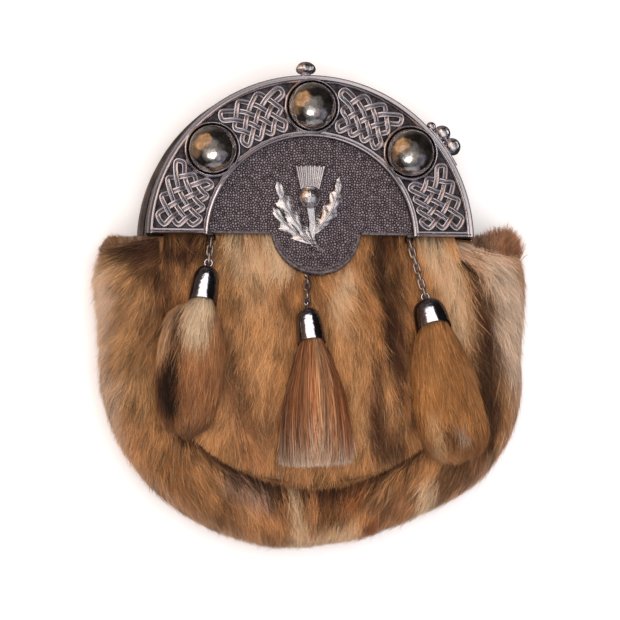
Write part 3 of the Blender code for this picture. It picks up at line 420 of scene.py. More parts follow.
casting = {
    "outerRim": ((71.1, 31.5), (71.4, 32.7), (71.9, 33.1), (72.4, 32.75), (72.7, 32.75), (73.2, 33.2),
                 (73.9, 33.2), (74.3, 32.7), (74.5, 31.6)),
    "innerRim": ((46.6, 29.3), (46.6, 32.6), (46.8, 33.1), (47.3, 33.3), (47.8, 33.0), (48.1, 32.6),
                 (48.5, 32.9), (48.9, 32.9), (49.3, 32.4), (49.5, 31.5)),
    # height and depth of the line cut round the skirt
    "groove": ((24.4, 0.0), (24.1, 0.4), (23.7, 0.4), (23.4, 0.0)),
    # y and height of the moulded bar along each foot, with its one rounded bead
    "footBar": ((0.0, 29.9), (0.0, 32.3), (0.25, 32.8), (0.8, 33.15), (1.4, 32.8), (1.6, 32.35),
                (2.1, 32.5), (2.6, 32.2), (2.6, 31.0)),
    "footWidth": 2.6, "footStart": 47.4, "footRun": 25.6,
    "seatOuter": 13.3, "seatInner": 11.5, "seatTop": 34.1, "seatSteps": 56, "skirtWall": 2.0,
}


def makeCasting():
    skirt = arch["outer"] - casting["skirtWall"]
    low = arch["partingZ"] + gap / 2
    profile = [*casting["innerRim"], *casting["outerRim"]]
    profile += [(arch["outer"] - depth, z) for z, depth in casting["groove"]]
    profile += [(arch["outer"], low), (skirt, low), (skirt, arch["backZ"])]
    body = sweepArch(profile)
    for side in (-1, 1):
        joinShapes(body, makeFootBar(side))
    for degrees in domeAngles():
        joinShapes(body, makeSeat(degrees))
    for ends in knotEnds():
        joinShapes(body, makeKnot(*ends))
    for name in ("left", "right"):
        joinShapes(body, makeLug(tassels[name]))
    makePiece("frame_front_casting", body, [castChrome], ["cantle"], 42.0)


def makeFootBar(side):
    bm = bmesh.new()
    ring = [bm.verts.new((side * casting["footStart"], y, z)) for y, z in casting["footBar"]]
    made = bmesh.ops.extrude_face_region(bm, geom=[bm.faces.new(ring)])
    moveNew(bm, made, (side * casting["footRun"], 0.0, 0.0))
    faceOutwards(bm)
    return bm


def domeAngles():
    return (90.0 + arch["spread"], 90.0, 90.0 - arch["spread"])


def makeSeat(degrees):
    # the raised collar that a dome sits in
    outer, inner, top = casting["seatOuter"], casting["seatInner"], casting["seatTop"]
    ground = arch["groundZ"]
    profile = [(0.0, ground + 0.2), (inner - 0.5, ground + 0.2), (inner, ground + 0.6),
               (inner + 0.05, top - 0.4), (inner + 0.25, top - 0.08), (inner + 0.5, top),
               (inner + 0.8, top - 0.15), (inner + 1.0, top - 0.6), (inner + 1.1, top - 1.3),
               (outer - 0.3, ground + 0.6), (outer, ground - 0.3)]
    return spinProfile(profile, casting["seatSteps"], Matrix.Translation(archPoint(arch["pitch"], degrees)))


knot = {
    "along": 8, "across": 6, "radii": (50.8, 69.9), "lift": 0.36, "base": 31.75, "smooth": 5,
    "seatGap": 0.6, "footGap": 1.1, "margin": 0.01,
    # the grooved strand, across and up
    "section": ((-1.4, -0.6), (-1.35, 0.3), (-1.15, 0.68), (-0.8, 0.8), (-0.45, 0.72), (-0.2, 0.42),
                (0.0, 0.32), (0.2, 0.42), (0.45, 0.72), (0.8, 0.8), (1.15, 0.68), (1.35, 0.3), (1.4, -0.6)),
}


def knotEnds():
    # each field of interlace: the angles of its two ends at a radius, from the domes or the foot
    def domeEnd(degrees, side):
        def end(radius):
            reach = casting["seatOuter"] + knot["seatGap"]
            cosine = (radius ** 2 + arch["pitch"] ** 2 - reach ** 2) / (2 * radius * arch["pitch"])
            return degrees + side * math.degrees(math.acos(min(1.0, cosine)))
        return end

    def footEnd(side):
        def end(radius):
            height = casting["footWidth"] + knot["footGap"] - arch["centreY"]
            lift = math.degrees(math.asin(height / radius))
            return 180.0 - lift if side > 0 else lift
        return end

    left, top, right = domeAngles()
    return ((footEnd(1), domeEnd(left, 1)), (domeEnd(left, -1), domeEnd(top, 1)),
            (domeEnd(top, -1), domeEnd(right, 1)), (domeEnd(right, -1), footEnd(-1)))


def bounce(step, size):
    step = step % (2 * size)
    return step if step <= size else 2 * size - step


def makeKnot(startAt, endAt):
    # one grooved strand bounces between the rims like a ball, over and under itself in turn
    along, across = knot["along"], knot["across"]
    low, high = knot["radii"]
    points = []
    for step in range(along * across):
        i = bounce(step + 1, along)
        j = bounce(step, across)
        turnI = bounce(step + 2, along) - bounce(step, along)
        turnJ = bounce(step + 1, across) - bounce(step - 1, across)
        if i in (0, along) or j in (0, across):
            lift = 0.0
        else:
            lift = knot["lift"] if (turnI * turnJ > 0) == (i % 2 == 0) else -knot["lift"]
        radius = low + (high - low) * j / across
        start, end = startAt(radius), endAt(radius)
        pull = knot["margin"] + (1.0 - 2 * knot["margin"]) * i / along
        points.append(archPoint(radius, start + (end - start) * pull, knot["base"] + lift))
    path = smoothPath(points, knot["smooth"], cyclic=True)
    return sweepWire(path, 0.0, cyclic=True, section=knot["section"])


dome = {
    "radius": 11.0, "height": 8.2, "base": 32.7, "steps": 64, "rings": 20,
    "sweep": 86.0, "foot": 0.25, "footInset": 0.2,   # degrees from the crown to the short upright foot
}


def makeDomes():
    for name, degrees in zip(("left", "top", "right"), domeAngles()):
        profile = [(0.0, dome["height"])]
        for step in range(1, dome["rings"]):
            turn = math.radians(90.0 - dome["sweep"] * step / (dome["rings"] - 1))
            profile.append((dome["radius"] * math.cos(turn), dome["height"] * math.sin(turn)))
        profile += [(dome["radius"], dome["foot"]), (dome["radius"] - dome["footInset"], 0.0), (0.0, 0.0)]
        middle = archPoint(arch["pitch"], degrees, dome["base"])
        bm = spinProfile(profile, dome["steps"], Matrix.Translation(middle))
        makePiece(f"dome_{name}", bm, [domeNickel], [f"dome_boss_{name}"])


backFrame = {
    "halfWidth": 77.2, "flange": 64.0, "panelZ": 7.3, "leather": 2.0, "flangeWall": 1.6,
    "groove": ((15.2, 0.0), (14.8, 0.5), (14.2, 0.5), (13.8, 0.0)),
}


def makeBackFrame():
    wall = arch["outer"] - casting["skirtWall"]
    low = backFrame["panelZ"]
    flange = low + backFrame["leather"] + gap
    top = arch["partingZ"] - gap / 2
    out = arch["outer"]
    profile = [(backFrame["flange"], flange), (backFrame["flange"], flange + backFrame["flangeWall"]),
               (wall, flange + backFrame["flangeWall"]), (wall, top), (out - 0.3, top), (out, top - 0.3)]
    profile += [(out - depth, z) for z, depth in backFrame["groove"]]
    profile += [(out, low + 0.5), (out - 0.5, low), (wall, low), (wall, flange)]
    body = sweepArch(profile)
    for vert in body.verts:
        vert.co.x *= backFrame["halfWidth"] / arch["outer"]
    makePiece("frame_back_band", body, [darkPlate], ["frame_back"])


knob = {
    "x": -2.0, "z": 26.2, "height": 6.6, "lobes": 7, "lobeDepth": 0.07, "steps": 56, "grow": 1.04,
    "lobesFrom": 0.15, "lobesOver": 0.2,   # shares of the height over which the lobes begin
    # radius, and share of the height
    "profile": ((0.0, 1.0), (1.2, 0.985), (2.3, 0.93), (3.3, 0.82), (4.0, 0.67), (4.3, 0.5), (4.05, 0.34),
                (3.4, 0.22), (2.5, 0.16), (2.1, 0.12), (2.3, 0.07), (2.5, 0.02), (2.3, 0.0), (0.0, 0.0)),
}


def makeTopKnob():
    # squat ball with soft lobes on a necked stem
    height = knob["height"]
    body = spinProfile([(radius, share * height) for radius, share in knob["profile"]], knob["steps"])
    for vert in body.verts:
        share = max(0.0, min(1.0, (vert.co.z / height - knob["lobesFrom"]) / knob["lobesOver"]))
        lobe = math.cos(knob["lobes"] * math.atan2(vert.co.y, vert.co.x)) - 0.3
        swell = knob["grow"] + share * knob["lobeDepth"] * lobe
        if math.hypot(vert.co.x, vert.co.y) > 0.5:
            vert.co.x *= swell
            vert.co.y *= swell
    rimY = arch["centreY"] + math.sqrt(arch["outer"] ** 2 - knob["x"] ** 2)
    place = Matrix.Translation((knob["x"], rimY + gap, knob["z"])) @ Matrix.Rotation(-math.pi / 2, 4, "X")
    bmesh.ops.transform(body, matrix=place, verts=body.verts[:])
    makePiece("knob_top_lobed", body, [badgeChrome], ["knob_top"])


clasp = {
    "from": 27.5, "to": 43.5, "height": 5.2, "wall": 1.3, "bevel": 0.5, "steps": 18,
    "ridges": 6, "ridgeDepth": 0.05,
    "lobes": ((4.4, 33.8, 4.0), (4.4, 39.2, 3.7), (2.5, 43.4, 2.2)),   # reach from the rim, degrees, radius
}


def makeSideClasp():
    inner = arch["outer"] + gap + 0.1
    low, high = knob["z"] - clasp["height"] / 2, knob["z"] + clasp["height"] / 2
    outer, flat = inner + clasp["wall"], inner + clasp["wall"] - clasp["bevel"]
    profile = [(inner, low), (inner, high), (flat, high), (outer, high - clasp["bevel"]),
               (outer, low + clasp["bevel"]), (flat, low)]
    body = sweepArch(profile, clasp["from"], clasp["to"], clasp["steps"])
    for reach, degrees, radius in clasp["lobes"]:
        lobe = bmesh.new()
        middle = archPoint(arch["outer"] + reach, degrees, knob["z"])
        turn = Matrix.Rotation(math.radians(degrees - 90.0), 4, "Z") @ Matrix.Rotation(-math.pi / 2, 4, "X")
        bmesh.ops.create_uvsphere(lobe, u_segments=36, v_segments=20, radius=radius)
        for vert in lobe.verts:
            wave = clasp["ridgeDepth"] * math.cos(clasp["ridges"] * math.atan2(vert.co.y, vert.co.x))
            ridge = 1.0 + wave * (1 - abs(vert.co.z) / radius)
            vert.co.x *= ridge
            vert.co.y *= ridge
        bmesh.ops.transform(lobe, matrix=Matrix.Translation(middle) @ turn, verts=lobe.verts[:])
        joinShapes(body, lobe)
    makePiece("clasp_side_lobed", body, [badgeChrome], ["clasp_side"])


field = {
    "z": 27.0, "wall": 2.0, "radius": 50.8, "footY": 1.5, "joinY": 0.9, "tongueX": 2.5, "tongueY": 2.7,
    "tongueRadius": 20.2, "lift": 6.2, "grid": 2.5,
    # the tongue's bound edge and its crease: inset, first degrees, sink, half thickness, roundness
    "edgeLines": ((0.5, 186.0, 0.1, 0.65, 3), (2.0, 190.0, 0.16, 0.3, 2)),
    "footLines": ((-46.5, -18.6), (23.4, 46.5)), "footInset": 0.35, "footWire": 0.6,
}


def tongueRise(y):
    # the leather's tongue bends up over the fur below the frame
    if y >= 0.0:
        return 0.0
    return field["lift"] * (-y / (field["tongueRadius"] - field["tongueY"])) ** 1.3


def tonguePoint(radius, degrees):
    turn = math.radians(degrees)
    x, y = radius * math.cos(turn), radius * math.sin(turn)
    return Vector((field["tongueX"] + x, field["tongueY"] + y, 0.0))


def fieldOutline():
    reach = math.sqrt(field["radius"] ** 2 - (field["footY"] - arch["centreY"]) ** 2)
    first = math.degrees(math.atan2(field["footY"] - arch["centreY"], reach))
    outline = [archPoint(field["radius"], first + (180.0 - 2 * first) * step / 72) for step in range(73)]
    dip = math.degrees(math.asin((field["joinY"] - field["tongueY"]) / field["tongueRadius"]))
    outline += [tonguePoint(field["tongueRadius"], 180.0 - dip + (180.0 + 2 * dip) * step / 48)
                for step in range(49)]
    return outline


def gridFill(outline, pitch):
    # one face from the outline, cut into a grid so that it can be bent
    bm = bmesh.new()
    bm.faces.new([bm.verts.new(point) for point in outline])
    low = Vector((min(p.x for p in outline), min(p.y for p in outline)))
    high = Vector((max(p.x for p in outline), max(p.y for p in outline)))
    for axis, normal in ((0, (1, 0, 0)), (1, (0, 1, 0))):
        place = low[axis] + pitch
        while place < high[axis] - 0.3:
            everything = bm.verts[:] + bm.edges[:] + bm.faces[:]
            spot = [0.0, 0.0, 0.0]
            spot[axis] = place
            bmesh.ops.bisect_plane(bm, geom=everything, plane_co=spot, plane_no=normal)
            place += pitch
    return bm


def addStitches(target, path, pitch, length, radius):
    # short stitches lying along a path of points
    left = pitch / 2
    for a, b in zip(path, path[1:]):
        run = (b - a).length
        while left <= run:
            middle = a.lerp(b, left / run)
            along = (b - a).normalized() * length / 2
            low = Vector((0.0, 0.0, radius * 0.7))
            joinShapes(target, sweepWire([middle - along - low, middle - along * 0.6 + low * 0.3,
                                          middle + along * 0.6 + low * 0.3, middle + along - low],
                                         radius, roundness=1))
            left += pitch
        left -= run


def makeLeatherField():
    top = field["z"] + field["wall"]
    body = gridFill(fieldOutline(), field["grid"])
    for vert in body.verts:
        vert.co.z = top + tongueRise(vert.co.y)
    faceOutwards(body)
    faceTowards(body, 1)
    panel = makePiece("leather_field", body, [pebbleLeather], ["leather_panel"])
    addWall(panel, field["wall"])

    trim = bmesh.new()
    for inset, first, sink, thickness, roundness in field["edgeLines"]:
        line = [tonguePoint(field["tongueRadius"] - inset, first + (540.0 - 2 * first) * step / 60)
                for step in range(61)]
        for point in line:
            point.z = top + tongueRise(point.y) - sink
        joinShapes(trim, sweepWire(line, thickness, roundness=roundness))
    footY = field["footY"] - field["footInset"]
    for start, end in field["footLines"]:
        line = [Vector((start + (end - start) * step / 16, footY, top - 0.1)) for step in range(17)]
        joinShapes(trim, sweepWire(line, field["footWire"], roundness=3))
    makePiece("leather_field_edge", trim, [edgeLeather])


back = {
    "archRadius": 70.0, "archRise": 68.5, "halfWidth": 70.0, "depth": 55.0, "z": 7.3, "wall": 2.0,
    "grid": 8.0, "seamHalf": 66.5, "seamDepth": 51.5, "seamTop": -4.0,
    "stitch": (4.2, 3.0, 0.32),   # pitch, length, radius
}


def makeBackLeather():
    outline = []
    for step in range(73):
        turn = math.pi * step / 72
        x = back["archRadius"] * math.cos(turn)
        outline.append(Vector((x, gap + back["archRise"] * math.sin(turn), 0.0)))
    for step in range(61):
        turn = math.pi * step / 60
        x = -back["halfWidth"] * math.cos(turn)
        outline.append(Vector((x, bellyY - back["depth"] * math.sin(turn), 0.0)))
    body = gridFill(outline, back["grid"])
    for vert in body.verts:
        vert.co.z = back["z"]
    faceOutwards(body)
    faceTowards(body, -1)
    panel = makePiece("leather_back", body, [backLeather], ["back_panel"])
    addWall(panel, back["wall"])

    half, height = back["seamHalf"], back["z"] - 0.05
    line = [Vector((-half, back["seamTop"], height))]
    for step in range(91):
        turn = math.pi * step / 90
        line.append(Vector((-half * math.cos(turn), bellyY - back["seamDepth"] * math.sin(turn), height)))
    line.append(Vector((half, back["seamTop"], height)))
    seam = bmesh.new()
    addStitches(seam, line, *back["stitch"])
    makePiece("back_stitching", seam, [thread])


loops = {
    "x": 45.0, "width": 12.0, "wall": 2.0, "bevel": 0.4, "low": 1.0, "high": 6.0,
    "span": ((-5.0, 6.0), (1.5, 6.0), (4.0, 1.0), (30.0, 1.0), (32.5, 6.0), (39.0, 6.0)),   # y, height
    # the rows of stitches: y from and to, their distance from the loop's middle, height, and the stitch
    "rows": ((-4.2, 0.5), (33.5, 38.2)), "aside": 4.6, "rowZ": 5.0, "stitch": (2.3, 1.6, 0.28),
}


def makeStrapLoops():
    for name, side in (("left", -1), ("right", 1)):
        path = smoothPath([Vector((0.0, y, z)) for y, z in loops["span"]], 5)
        bm = bmesh.new()
        start = side * loops["x"] - loops["width"] / 2
        row = []
        for point in path:
            height = min(max(point.z, loops["low"]), loops["high"])
            row.append(bm.verts.new((start, point.y, height)))
        edges = [bm.edges.new(pair) for pair in zip(row, row[1:])]
        moveNew(bm, bmesh.ops.extrude_edge_only(bm, edges=edges), (loops["width"], 0.0, 0.0))
        faceOutwards(bm)
        strip = makePiece(f"loop_leather_{name}", bm, [backLeather], [f"strap_loop_{name}"], 60.0)
        addWall(strip, loops["wall"], 0.0)
        edge = strip.modifiers.new("edge", "BEVEL")
        edge.width = loops["bevel"] * mm
        edge.segments = 2
        stitches = bmesh.new()
        for low, high in loops["rows"]:
            for offset in (-loops["aside"], loops["aside"]):
                x = side * loops["x"] + offset
                line = [Vector((x, y, loops["rowZ"])) for y in (low, high)]
                addStitches(stitches, line, *loops["stitch"])
        makePiece(f"loop_stitching_{name}", stitches, [thread])


# the fur's surfaces, in millimetres from the chord
bellyY = -59.7
front = {
    "seamHalf": 65.6, "seamDepth": 50.8,
    "y": (-110.5, -96.0, -80.0, -59.7, -44.0, -29.0, -17.0, -8.0, 0.0, 5.0),
    "seamZ": (36.0, 35.8, 35.0, 33.6, 32.0, 30.2, 28.6, 27.4, 26.4, 26.2),
    "crownZ": (36.0, 39.2, 41.2, 41.6, 39.6, 35.0, 30.2, 27.8, 26.4, 26.2),
}


def seamHalfWidth(y):
    share = np.clip((bellyY - np.asarray(y, float)) / front["seamDepth"], 0.0, 1.0)
    return front["seamHalf"] * np.sqrt(1.0 - share ** 2)


def frontDome(x, y):
    # the seam's height, half the front's width, and the height of its domed skin
    edge = np.interp(y, front["y"], front["seamZ"])
    crown = np.interp(y, front["y"], front["crownZ"])
    half = np.maximum(seamHalfWidth(y), 0.01)
    share = np.clip(1.0 - (x / half) ** 2, 0.0, 1.0)
    return edge, half, edge + (crown - edge) * share ** 0.8


def frontHeight(x, y):
    # what a cap or a tassel rests on, with the band's fur beyond the seam
    x, y = np.asarray(x, float), np.asarray(y, float)
    edge, half, height = frontDome(x, y)
    return np.where(np.abs(x) >= half, edge + 1.3, height)


def frontSurface(x, y):
    # the skin that the front's hair follows, bent down where a hair reaches past the seam
    edge, half, height = frontDome(x, y)
    beyond = np.hypot(np.maximum(np.abs(x) - half, 0.0), np.maximum(front["y"][0] - y, 0.0))
    return np.stack([x, y, height - 0.02 * beyond ** 2], axis=-1)


band = {
    "widestLeft": 92.4, "widestRight": 95.6, "widestDepth": 79.2, "backHalf": 70.0, "backDepth": 55.0,
    "widestZ": 18.0,
    "sideShare": 0.24, "seamPlay": 0.35,   # share of its length down each side, play at the seams
    "shoulderY": (-59.7, -44.0, -29.0, -17.0, -8.0, 0.0),
    "shoulderIn": (0.0, -0.6, -1.2, -1.0, 1.2, 6.0),
    "shoulderDrop": (0.0, 0.0, 0.0, 0.0, 1.0, 2.2),
    "reach": (0.0, 0.36, 0.76, 1.0, 0.84, 0.5, 0.2, 0.0),
    "height": (1.0, 1.07, 0.82, 0.0, -0.74, -1.0, -0.72, -0.54),
    "stations": 121,
    # share round the band, how far the widest line stands out there: the bag is fuller low on the right
    "fullness": ((0.0, 1.4), (0.08, 1.9), (0.13, -0.2), (0.22, 0.0), (0.30, -0.2), (0.38, 0.8), (0.47, 1.2),
                 (0.51, -0.6), (0.55, -2.2), (0.60, -1.4), (0.65, 3.2), (0.70, 4.2), (0.78, 1.8), (0.86, 2.4),
                 (0.95, 3.2), (1.0, 3.4)),
}


def bandStations():
    # front seam, widest line and back seam of the fur band, from the left mouth round to the right one
    sideShare, play = band["sideShare"], band["seamPlay"]
    s = np.linspace(0.0, 1.0, band["stations"])
    down = np.clip(s / sideShare, 0.0, 1.0)
    up = np.clip((1.0 - s) / sideShare, 0.0, 1.0)
    y = bellyY * np.minimum(down, up)
    turn = np.pi * np.clip((s - sideShare) / (1.0 - 2 * sideShare), 0.0, 1.0)
    side = np.where(s < 0.5, -1.0, 1.0)
    straight = (s <= sideShare) | (s >= 1.0 - sideShare)
    pull = np.interp(y, band["shoulderY"], band["shoulderIn"])
    drop = np.interp(y, band["shoulderY"], band["shoulderDrop"])

    def line(half, depth, inward, fall):
        x = np.where(straight, side * (half - inward), -half * np.cos(turn))
        lowered = np.minimum(y, -0.6) - fall
        return np.stack([x, np.where(straight, lowered, bellyY - depth * np.sin(turn))], axis=-1)

    widestHalf = np.where(s < 0.5, band["widestLeft"], band["widestRight"])
    seam = line(front["seamHalf"] + play, front["seamDepth"] + play, 0.0, 0.0)
    widest = line(widestHalf, band["widestDepth"], pull, drop)
    rear = line(band["backHalf"] + play, band["backDepth"] + play, 0.0, 0.0)
    outward = (widest - seam) / np.linalg.norm(widest - seam, axis=1, keepdims=True)
    widest += outward * np.interp(s, *zip(*band["fullness"]))[:, None]
    seamZ = np.interp(seam[:, 1], front["y"], front["seamZ"])
    return s, seam, widest, rear, seamZ


bandLines = bandStations()


def smoothTable(values, v):
    # Catmull-Rom through evenly spaced values
    values = np.asarray(values)
    v = np.clip(v, 0.0, len(values) - 1.0001)
    index = v.astype(int)
    t = v - index
    a, b, c, d = (values[np.clip(index + step, 0, len(values) - 1)] for step in (-1, 0, 1, 2))
    return 0.5 * (2 * b + (c - a) * t + (2 * a - 5 * b + 4 * c - d) * t ** 2
                  + (3 * b - a - 3 * c + d) * t ** 3)


def bandSurface(s, v):
    places, seam, widest, rear, seamZ = bandLines
    reach = smoothTable(band["reach"], v)
    height = smoothTable(band["height"], v)
    upper = height >= 0.0
    parts = []
    for axis in (0, 1):
        start = np.where(upper, np.interp(s, places, seam[:, axis]), np.interp(s, places, rear[:, axis]))
        parts.append(start + (np.interp(s, places, widest[:, axis]) - start) * reach)
    top = np.interp(s, places, seamZ) - band["widestZ"]
    parts.append(band["widestZ"] + np.where(upper, height * top, height * band["widestZ"]))
    return np.stack(parts, axis=-1)


def meshGrid(columns, rows, surface):
    # a flat grid whose corners are moved onto a surface of two shares, both from 0 to 1
    bm = bmesh.new()
    bmesh.ops.create_grid(bm, x_segments=columns, y_segments=rows, size=0.5)
    verts = bm.verts[:]
    shares = np.array([(vert.co.x + 0.5, vert.co.y + 0.5) for vert in verts])
    for vert, place in zip(verts, surface(shares[:, 0], shares[:, 1])):
        vert.co = place
    return bm


pelts = {
    "topY": 4.6, "bottomY": -110.2, "bandEnd": 7.0, "hide": 1.8, "middle": (0.0, -50.0, 18.0),
}


def makePelts():
    # the skins that carry the fur
    def frontSkin(a, b):
        y = pelts["topY"] - (pelts["topY"] - pelts["bottomY"]) * (1.0 - (1.0 - b) ** 1.25)
        x = (seamHalfWidth(y) + 0.5) * np.sin(np.pi * (a - 0.5))
        place = frontSurface(x, y)
        place[:, 2] -= 0.15
        return place

    def bandSkin(a, b):
        return bandSurface(a, pelts["bandEnd"] * b)

    centre = Vector(pelts["middle"])
    for name, surface, columns, rows, flat, area, node in (
            ("pelt_front", frontSkin, 40, 44, (0.132, 0.118), 0.0139, "front_fur"),
            ("pelt_band", bandSkin, 132, 35, (0.36, 0.08), 0.0262, "gusset_fur")):
        body = meshGrid(columns, rows, surface)
        bmesh.ops.remove_doubles(body, verts=body.verts[:], dist=0.01)
        outward = 0.0
        for face in body.faces:
            outward += face.normal.dot(face.calc_center_median() - centre) * face.calc_area()
        if outward < 0:
            bmesh.ops.reverse_faces(body, faces=body.faces[:])
        pelt = makePiece(name, body, [underfur], [node], 180.0)
        addWall(pelt, pelts["hide"])


# the colours of the pelt's markings, which are soft strokes over the front; a few strokes are painted shade
# and painted shadow, as noted below
peltColours = {
    "ginger": "b57c4b", "tan": "c38f5f", "cream": "f2cda4", "pinkCream": "f4d6bc", "brown": "83583a",
    "dark": "432619", "soot": "27150f", "grey": "a08272", "rust": "94532a", "olive": "94704a",
}

# colour, strength, then points of x, y and half width in millimetres
peltMarks = (
    ("olive", 0.75, ((-86, -8, 12), (-84, -40, 12), (-80, -70, 11))),
    ("pinkCream", 0.97, ((-99, -20, 8.0), (-98, -60, 8.4), (-91, -86, 6.5))),
    ("brown", 0.55, ((-72, -30, 5), (-70, -52, 6))),
    ("cream", 0.9, ((-36, -4, 5.5), (-28, -16, 8), (-25, -30, 5))),
    ("cream", 0.95, ((-16, -6, 5), (-13, -16, 5))),
    ("tan", 0.8, ((-26, -30, 10), (-24, -60, 8))),
    ("ginger", 0.7, ((-31, -3, 1.6), (-30, -14, 1.6))),
    # painted shadow: a near-black band under the left foot of the frame
    ("soot", 0.95, ((-84, -9, 4.0), (-68, -10, 5.4), (-48, -9, 4.2))),
    # painted shadow: a dark diagonal band on the fur left of the left tassel's cap
    ("dark", 0.9, ((-74, -14, 5.0), (-66, -24, 5.0), (-65, -38, 4.4))),
    # painted shadow: a thin dark line on the fur left of the centre cap
    ("dark", 0.8, ((-12, -26, 1.6), (-13, -34, 1.4))),
    # painted shade: the next two strokes darken the hollow between two lumps of the fur
    ("brown", 0.75, ((-40, -58, 5), (-33, -80, 8), (-24, -96, 7))),
    ("dark", 0.6, ((-38, -64, 2.4), (-31, -84, 3.4))),
    ("grey", 0.8, ((-36, -112, 5), (-24, -116, 6), (-13, -114, 4.5))),
    ("cream", 0.85, ((16, -22, 4), (13, -34, 4.5), (15, -44, 3))),
    ("tan", 0.8, ((17, -40, 6), (20, -66, 6), (22, -92, 5))),
    ("soot", 0.97, ((33, -6, 4.8), (33, -26, 4.6), (35, -42, 4.2), (38, -58, 4.2))),
    ("dark", 0.85, ((40, -6, 2.4), (39, -34, 2.6), (40, -56, 2.4))),
    ("dark", 0.9, ((28, -58, 3.0), (28, -78, 4.0), (30, -98, 4.6))),
    ("dark", 0.7, ((40, -66, 2.0), (38, -84, 2.6), (38, -98, 4.0))),
    ("tan", 0.6, ((34, -66, 2.4), (34, -82, 2.2))),
    ("ginger", 0.8, ((47, -8, 3), (49, -24, 3))),
    ("cream", 0.97, ((56, -5, 6.0), (63, -20, 7), (67, -36, 5), (68, -48, 3))),
    ("rust", 0.5, ((60, -12, 1.8), (61, -22, 1.8))),
    ("pinkCream", 0.95, ((87, -14, 8), (91, -34, 8.5), (95, -64, 7))),
    ("rust", 0.6, ((82, -2, 4), (90, -6, 4))),
    ("soot", 0.97, ((75, -16, 1.6), (77, -30, 3.0), (80, -46, 5.6), (79, -62, 7.0), (80.5, -76, 6.4),
                    (82.5, -86, 3.4), (80, -95, 3.0), (73, -101, 3.4), (63, -108, 3.4), (58, -114, 3.6),
                    (56, -120, 4))),
    ("ginger", 0.8, ((93, -76, 4), (88, -98, 4), (72, -116, 4))),
    ("brown", 0.85, ((72, -102, 6), (56, -112, 6), (34, -120, 7))),
    ("cream", 0.97, ((51, -112, 3.0), (52, -122, 3.2))),
    ("brown", 0.25, ((-60, -108, 10), (-20, -126, 8), (30, -122, 8))),
    ("rust", 0.75, ((2, -120, 3.6), (18, -118, 3))),
    ("dark", 0.6, ((2, -122, 2.2), (12, -120, 2.0))),
    ("dark", 0.7, ((0, -128, 1.6), (12, -127, 1.6))),
    ("cream", 0.97, ((-7.5, -122, 1.8), (-5.5, -132, 2.4), (-5, -142, 2.8))),
    ("cream", 0.97, ((-1.5, -138.5, 2.4), (9.8, -134.5, 3.6), (19, -131.5, 2.6))),
    ("rust", 0.9, ((26, -128, 2.8), (27.5, -141, 3.6))),
)


def hashGrid(i, j, seed):
    mixed = (i * 374761393 + j * 668265263 + seed * 974634777).astype(np.int64) & 0xffffffff
    mixed = ((mixed ^ (mixed >> 13)) * 1274126177) & 0xffffffff
    return ((mixed ^ (mixed >> 16)) & 0xffff) / 65535.0


def patches(x, y, size, seed):
    # smooth random patches, from 0 to 1, about size millimetres across
    x, y = np.asarray(x) / size, np.asarray(y) / size
    i, j = np.floor(x).astype(np.int64), np.floor(y).astype(np.int64)
    tx, ty = x - i, y - j
    tx, ty = tx * tx * (3 - 2 * tx), ty * ty * (3 - 2 * ty)
    low = hashGrid(i, j, seed) * (1 - tx) + hashGrid(i + 1, j, seed) * tx
    high = hashGrid(i, j + 1, seed) * (1 - tx) + hashGrid(i + 1, j + 1, seed) * tx
    return low * (1 - ty) + high * ty


def strokeCover(x, y, points, softness):
    # how much a stroke with a width at each point covers each place
    cover = np.zeros(len(x))
    for (ax, ay, aw), (bx, by, bw) in zip(points, points[1:]):
        dx, dy = bx - ax, by - ay
        share = np.clip(((x - ax) * dx + (y - ay) * dy) / (dx * dx + dy * dy), 0.0, 1.0)
        distance = np.hypot(x - ax - dx * share, y - ay - dy * share)
        width = aw + (bw - aw) * share
        cover = np.maximum(cover, 1.0 / (1.0 + np.exp((distance - width) / (softness * width + 0.3))))
    return cover


def plainTone(code, count):
    return np.tile(np.array(hexLinear(code)), (count, 1))


def blendTone(tone, code, cover):
    colour = np.array(hexLinear(code))
    return tone + (colour - tone) * cover[:, None]


def peltTone(x, y, seed):
    wobbleX = (patches(x, y * 0.5, 7.0, seed) - 0.5) * 4.5 + (patches(x, y * 0.4, 2.6, seed + 1) - 0.5) * 3.0
    wobbleY = (patches(x, y, 9.0, seed + 2) - 0.5) * 7.0
    brownish = np.clip(patches(x, y * 0.35, 5.0, 6) * 1.6 - 0.7, 0, 1)
    tone = plainTone(peltColours["ginger"], len(x))
    tone = blendTone(tone, peltColours["tan"], 0.7 * patches(x, y * 0.45, 9.0, 5))
    tone = blendTone(tone, peltColours["brown"], 0.75 * brownish)
    for colour, strength, points in peltMarks:
        shift = min(1.0, points[0][2] / 6.0)
        cover = strokeCover(x + wobbleX * shift, y + wobbleY * shift, points, 0.16)
        tone = blendTone(tone, peltColours[colour], strength * cover)
    flecks = np.clip(patches(x * 1.5, y * 0.4, 3.2, 8) * 2.6 - 1.4, 0, 1)
    flecks = flecks * np.clip(1.6 - tone[:, 0] * 2.0, 0.2, 1.0)
    tone = blendTone(tone, peltColours["dark"], 0.6 * flecks)
    shade = 0.63 + 0.60 * patches(x, y * 0.5, 5.5, 9) + 0.60 * patches(x * 1.3, y * 0.7, 2.0, 10)
    return tone * shade[:, None]


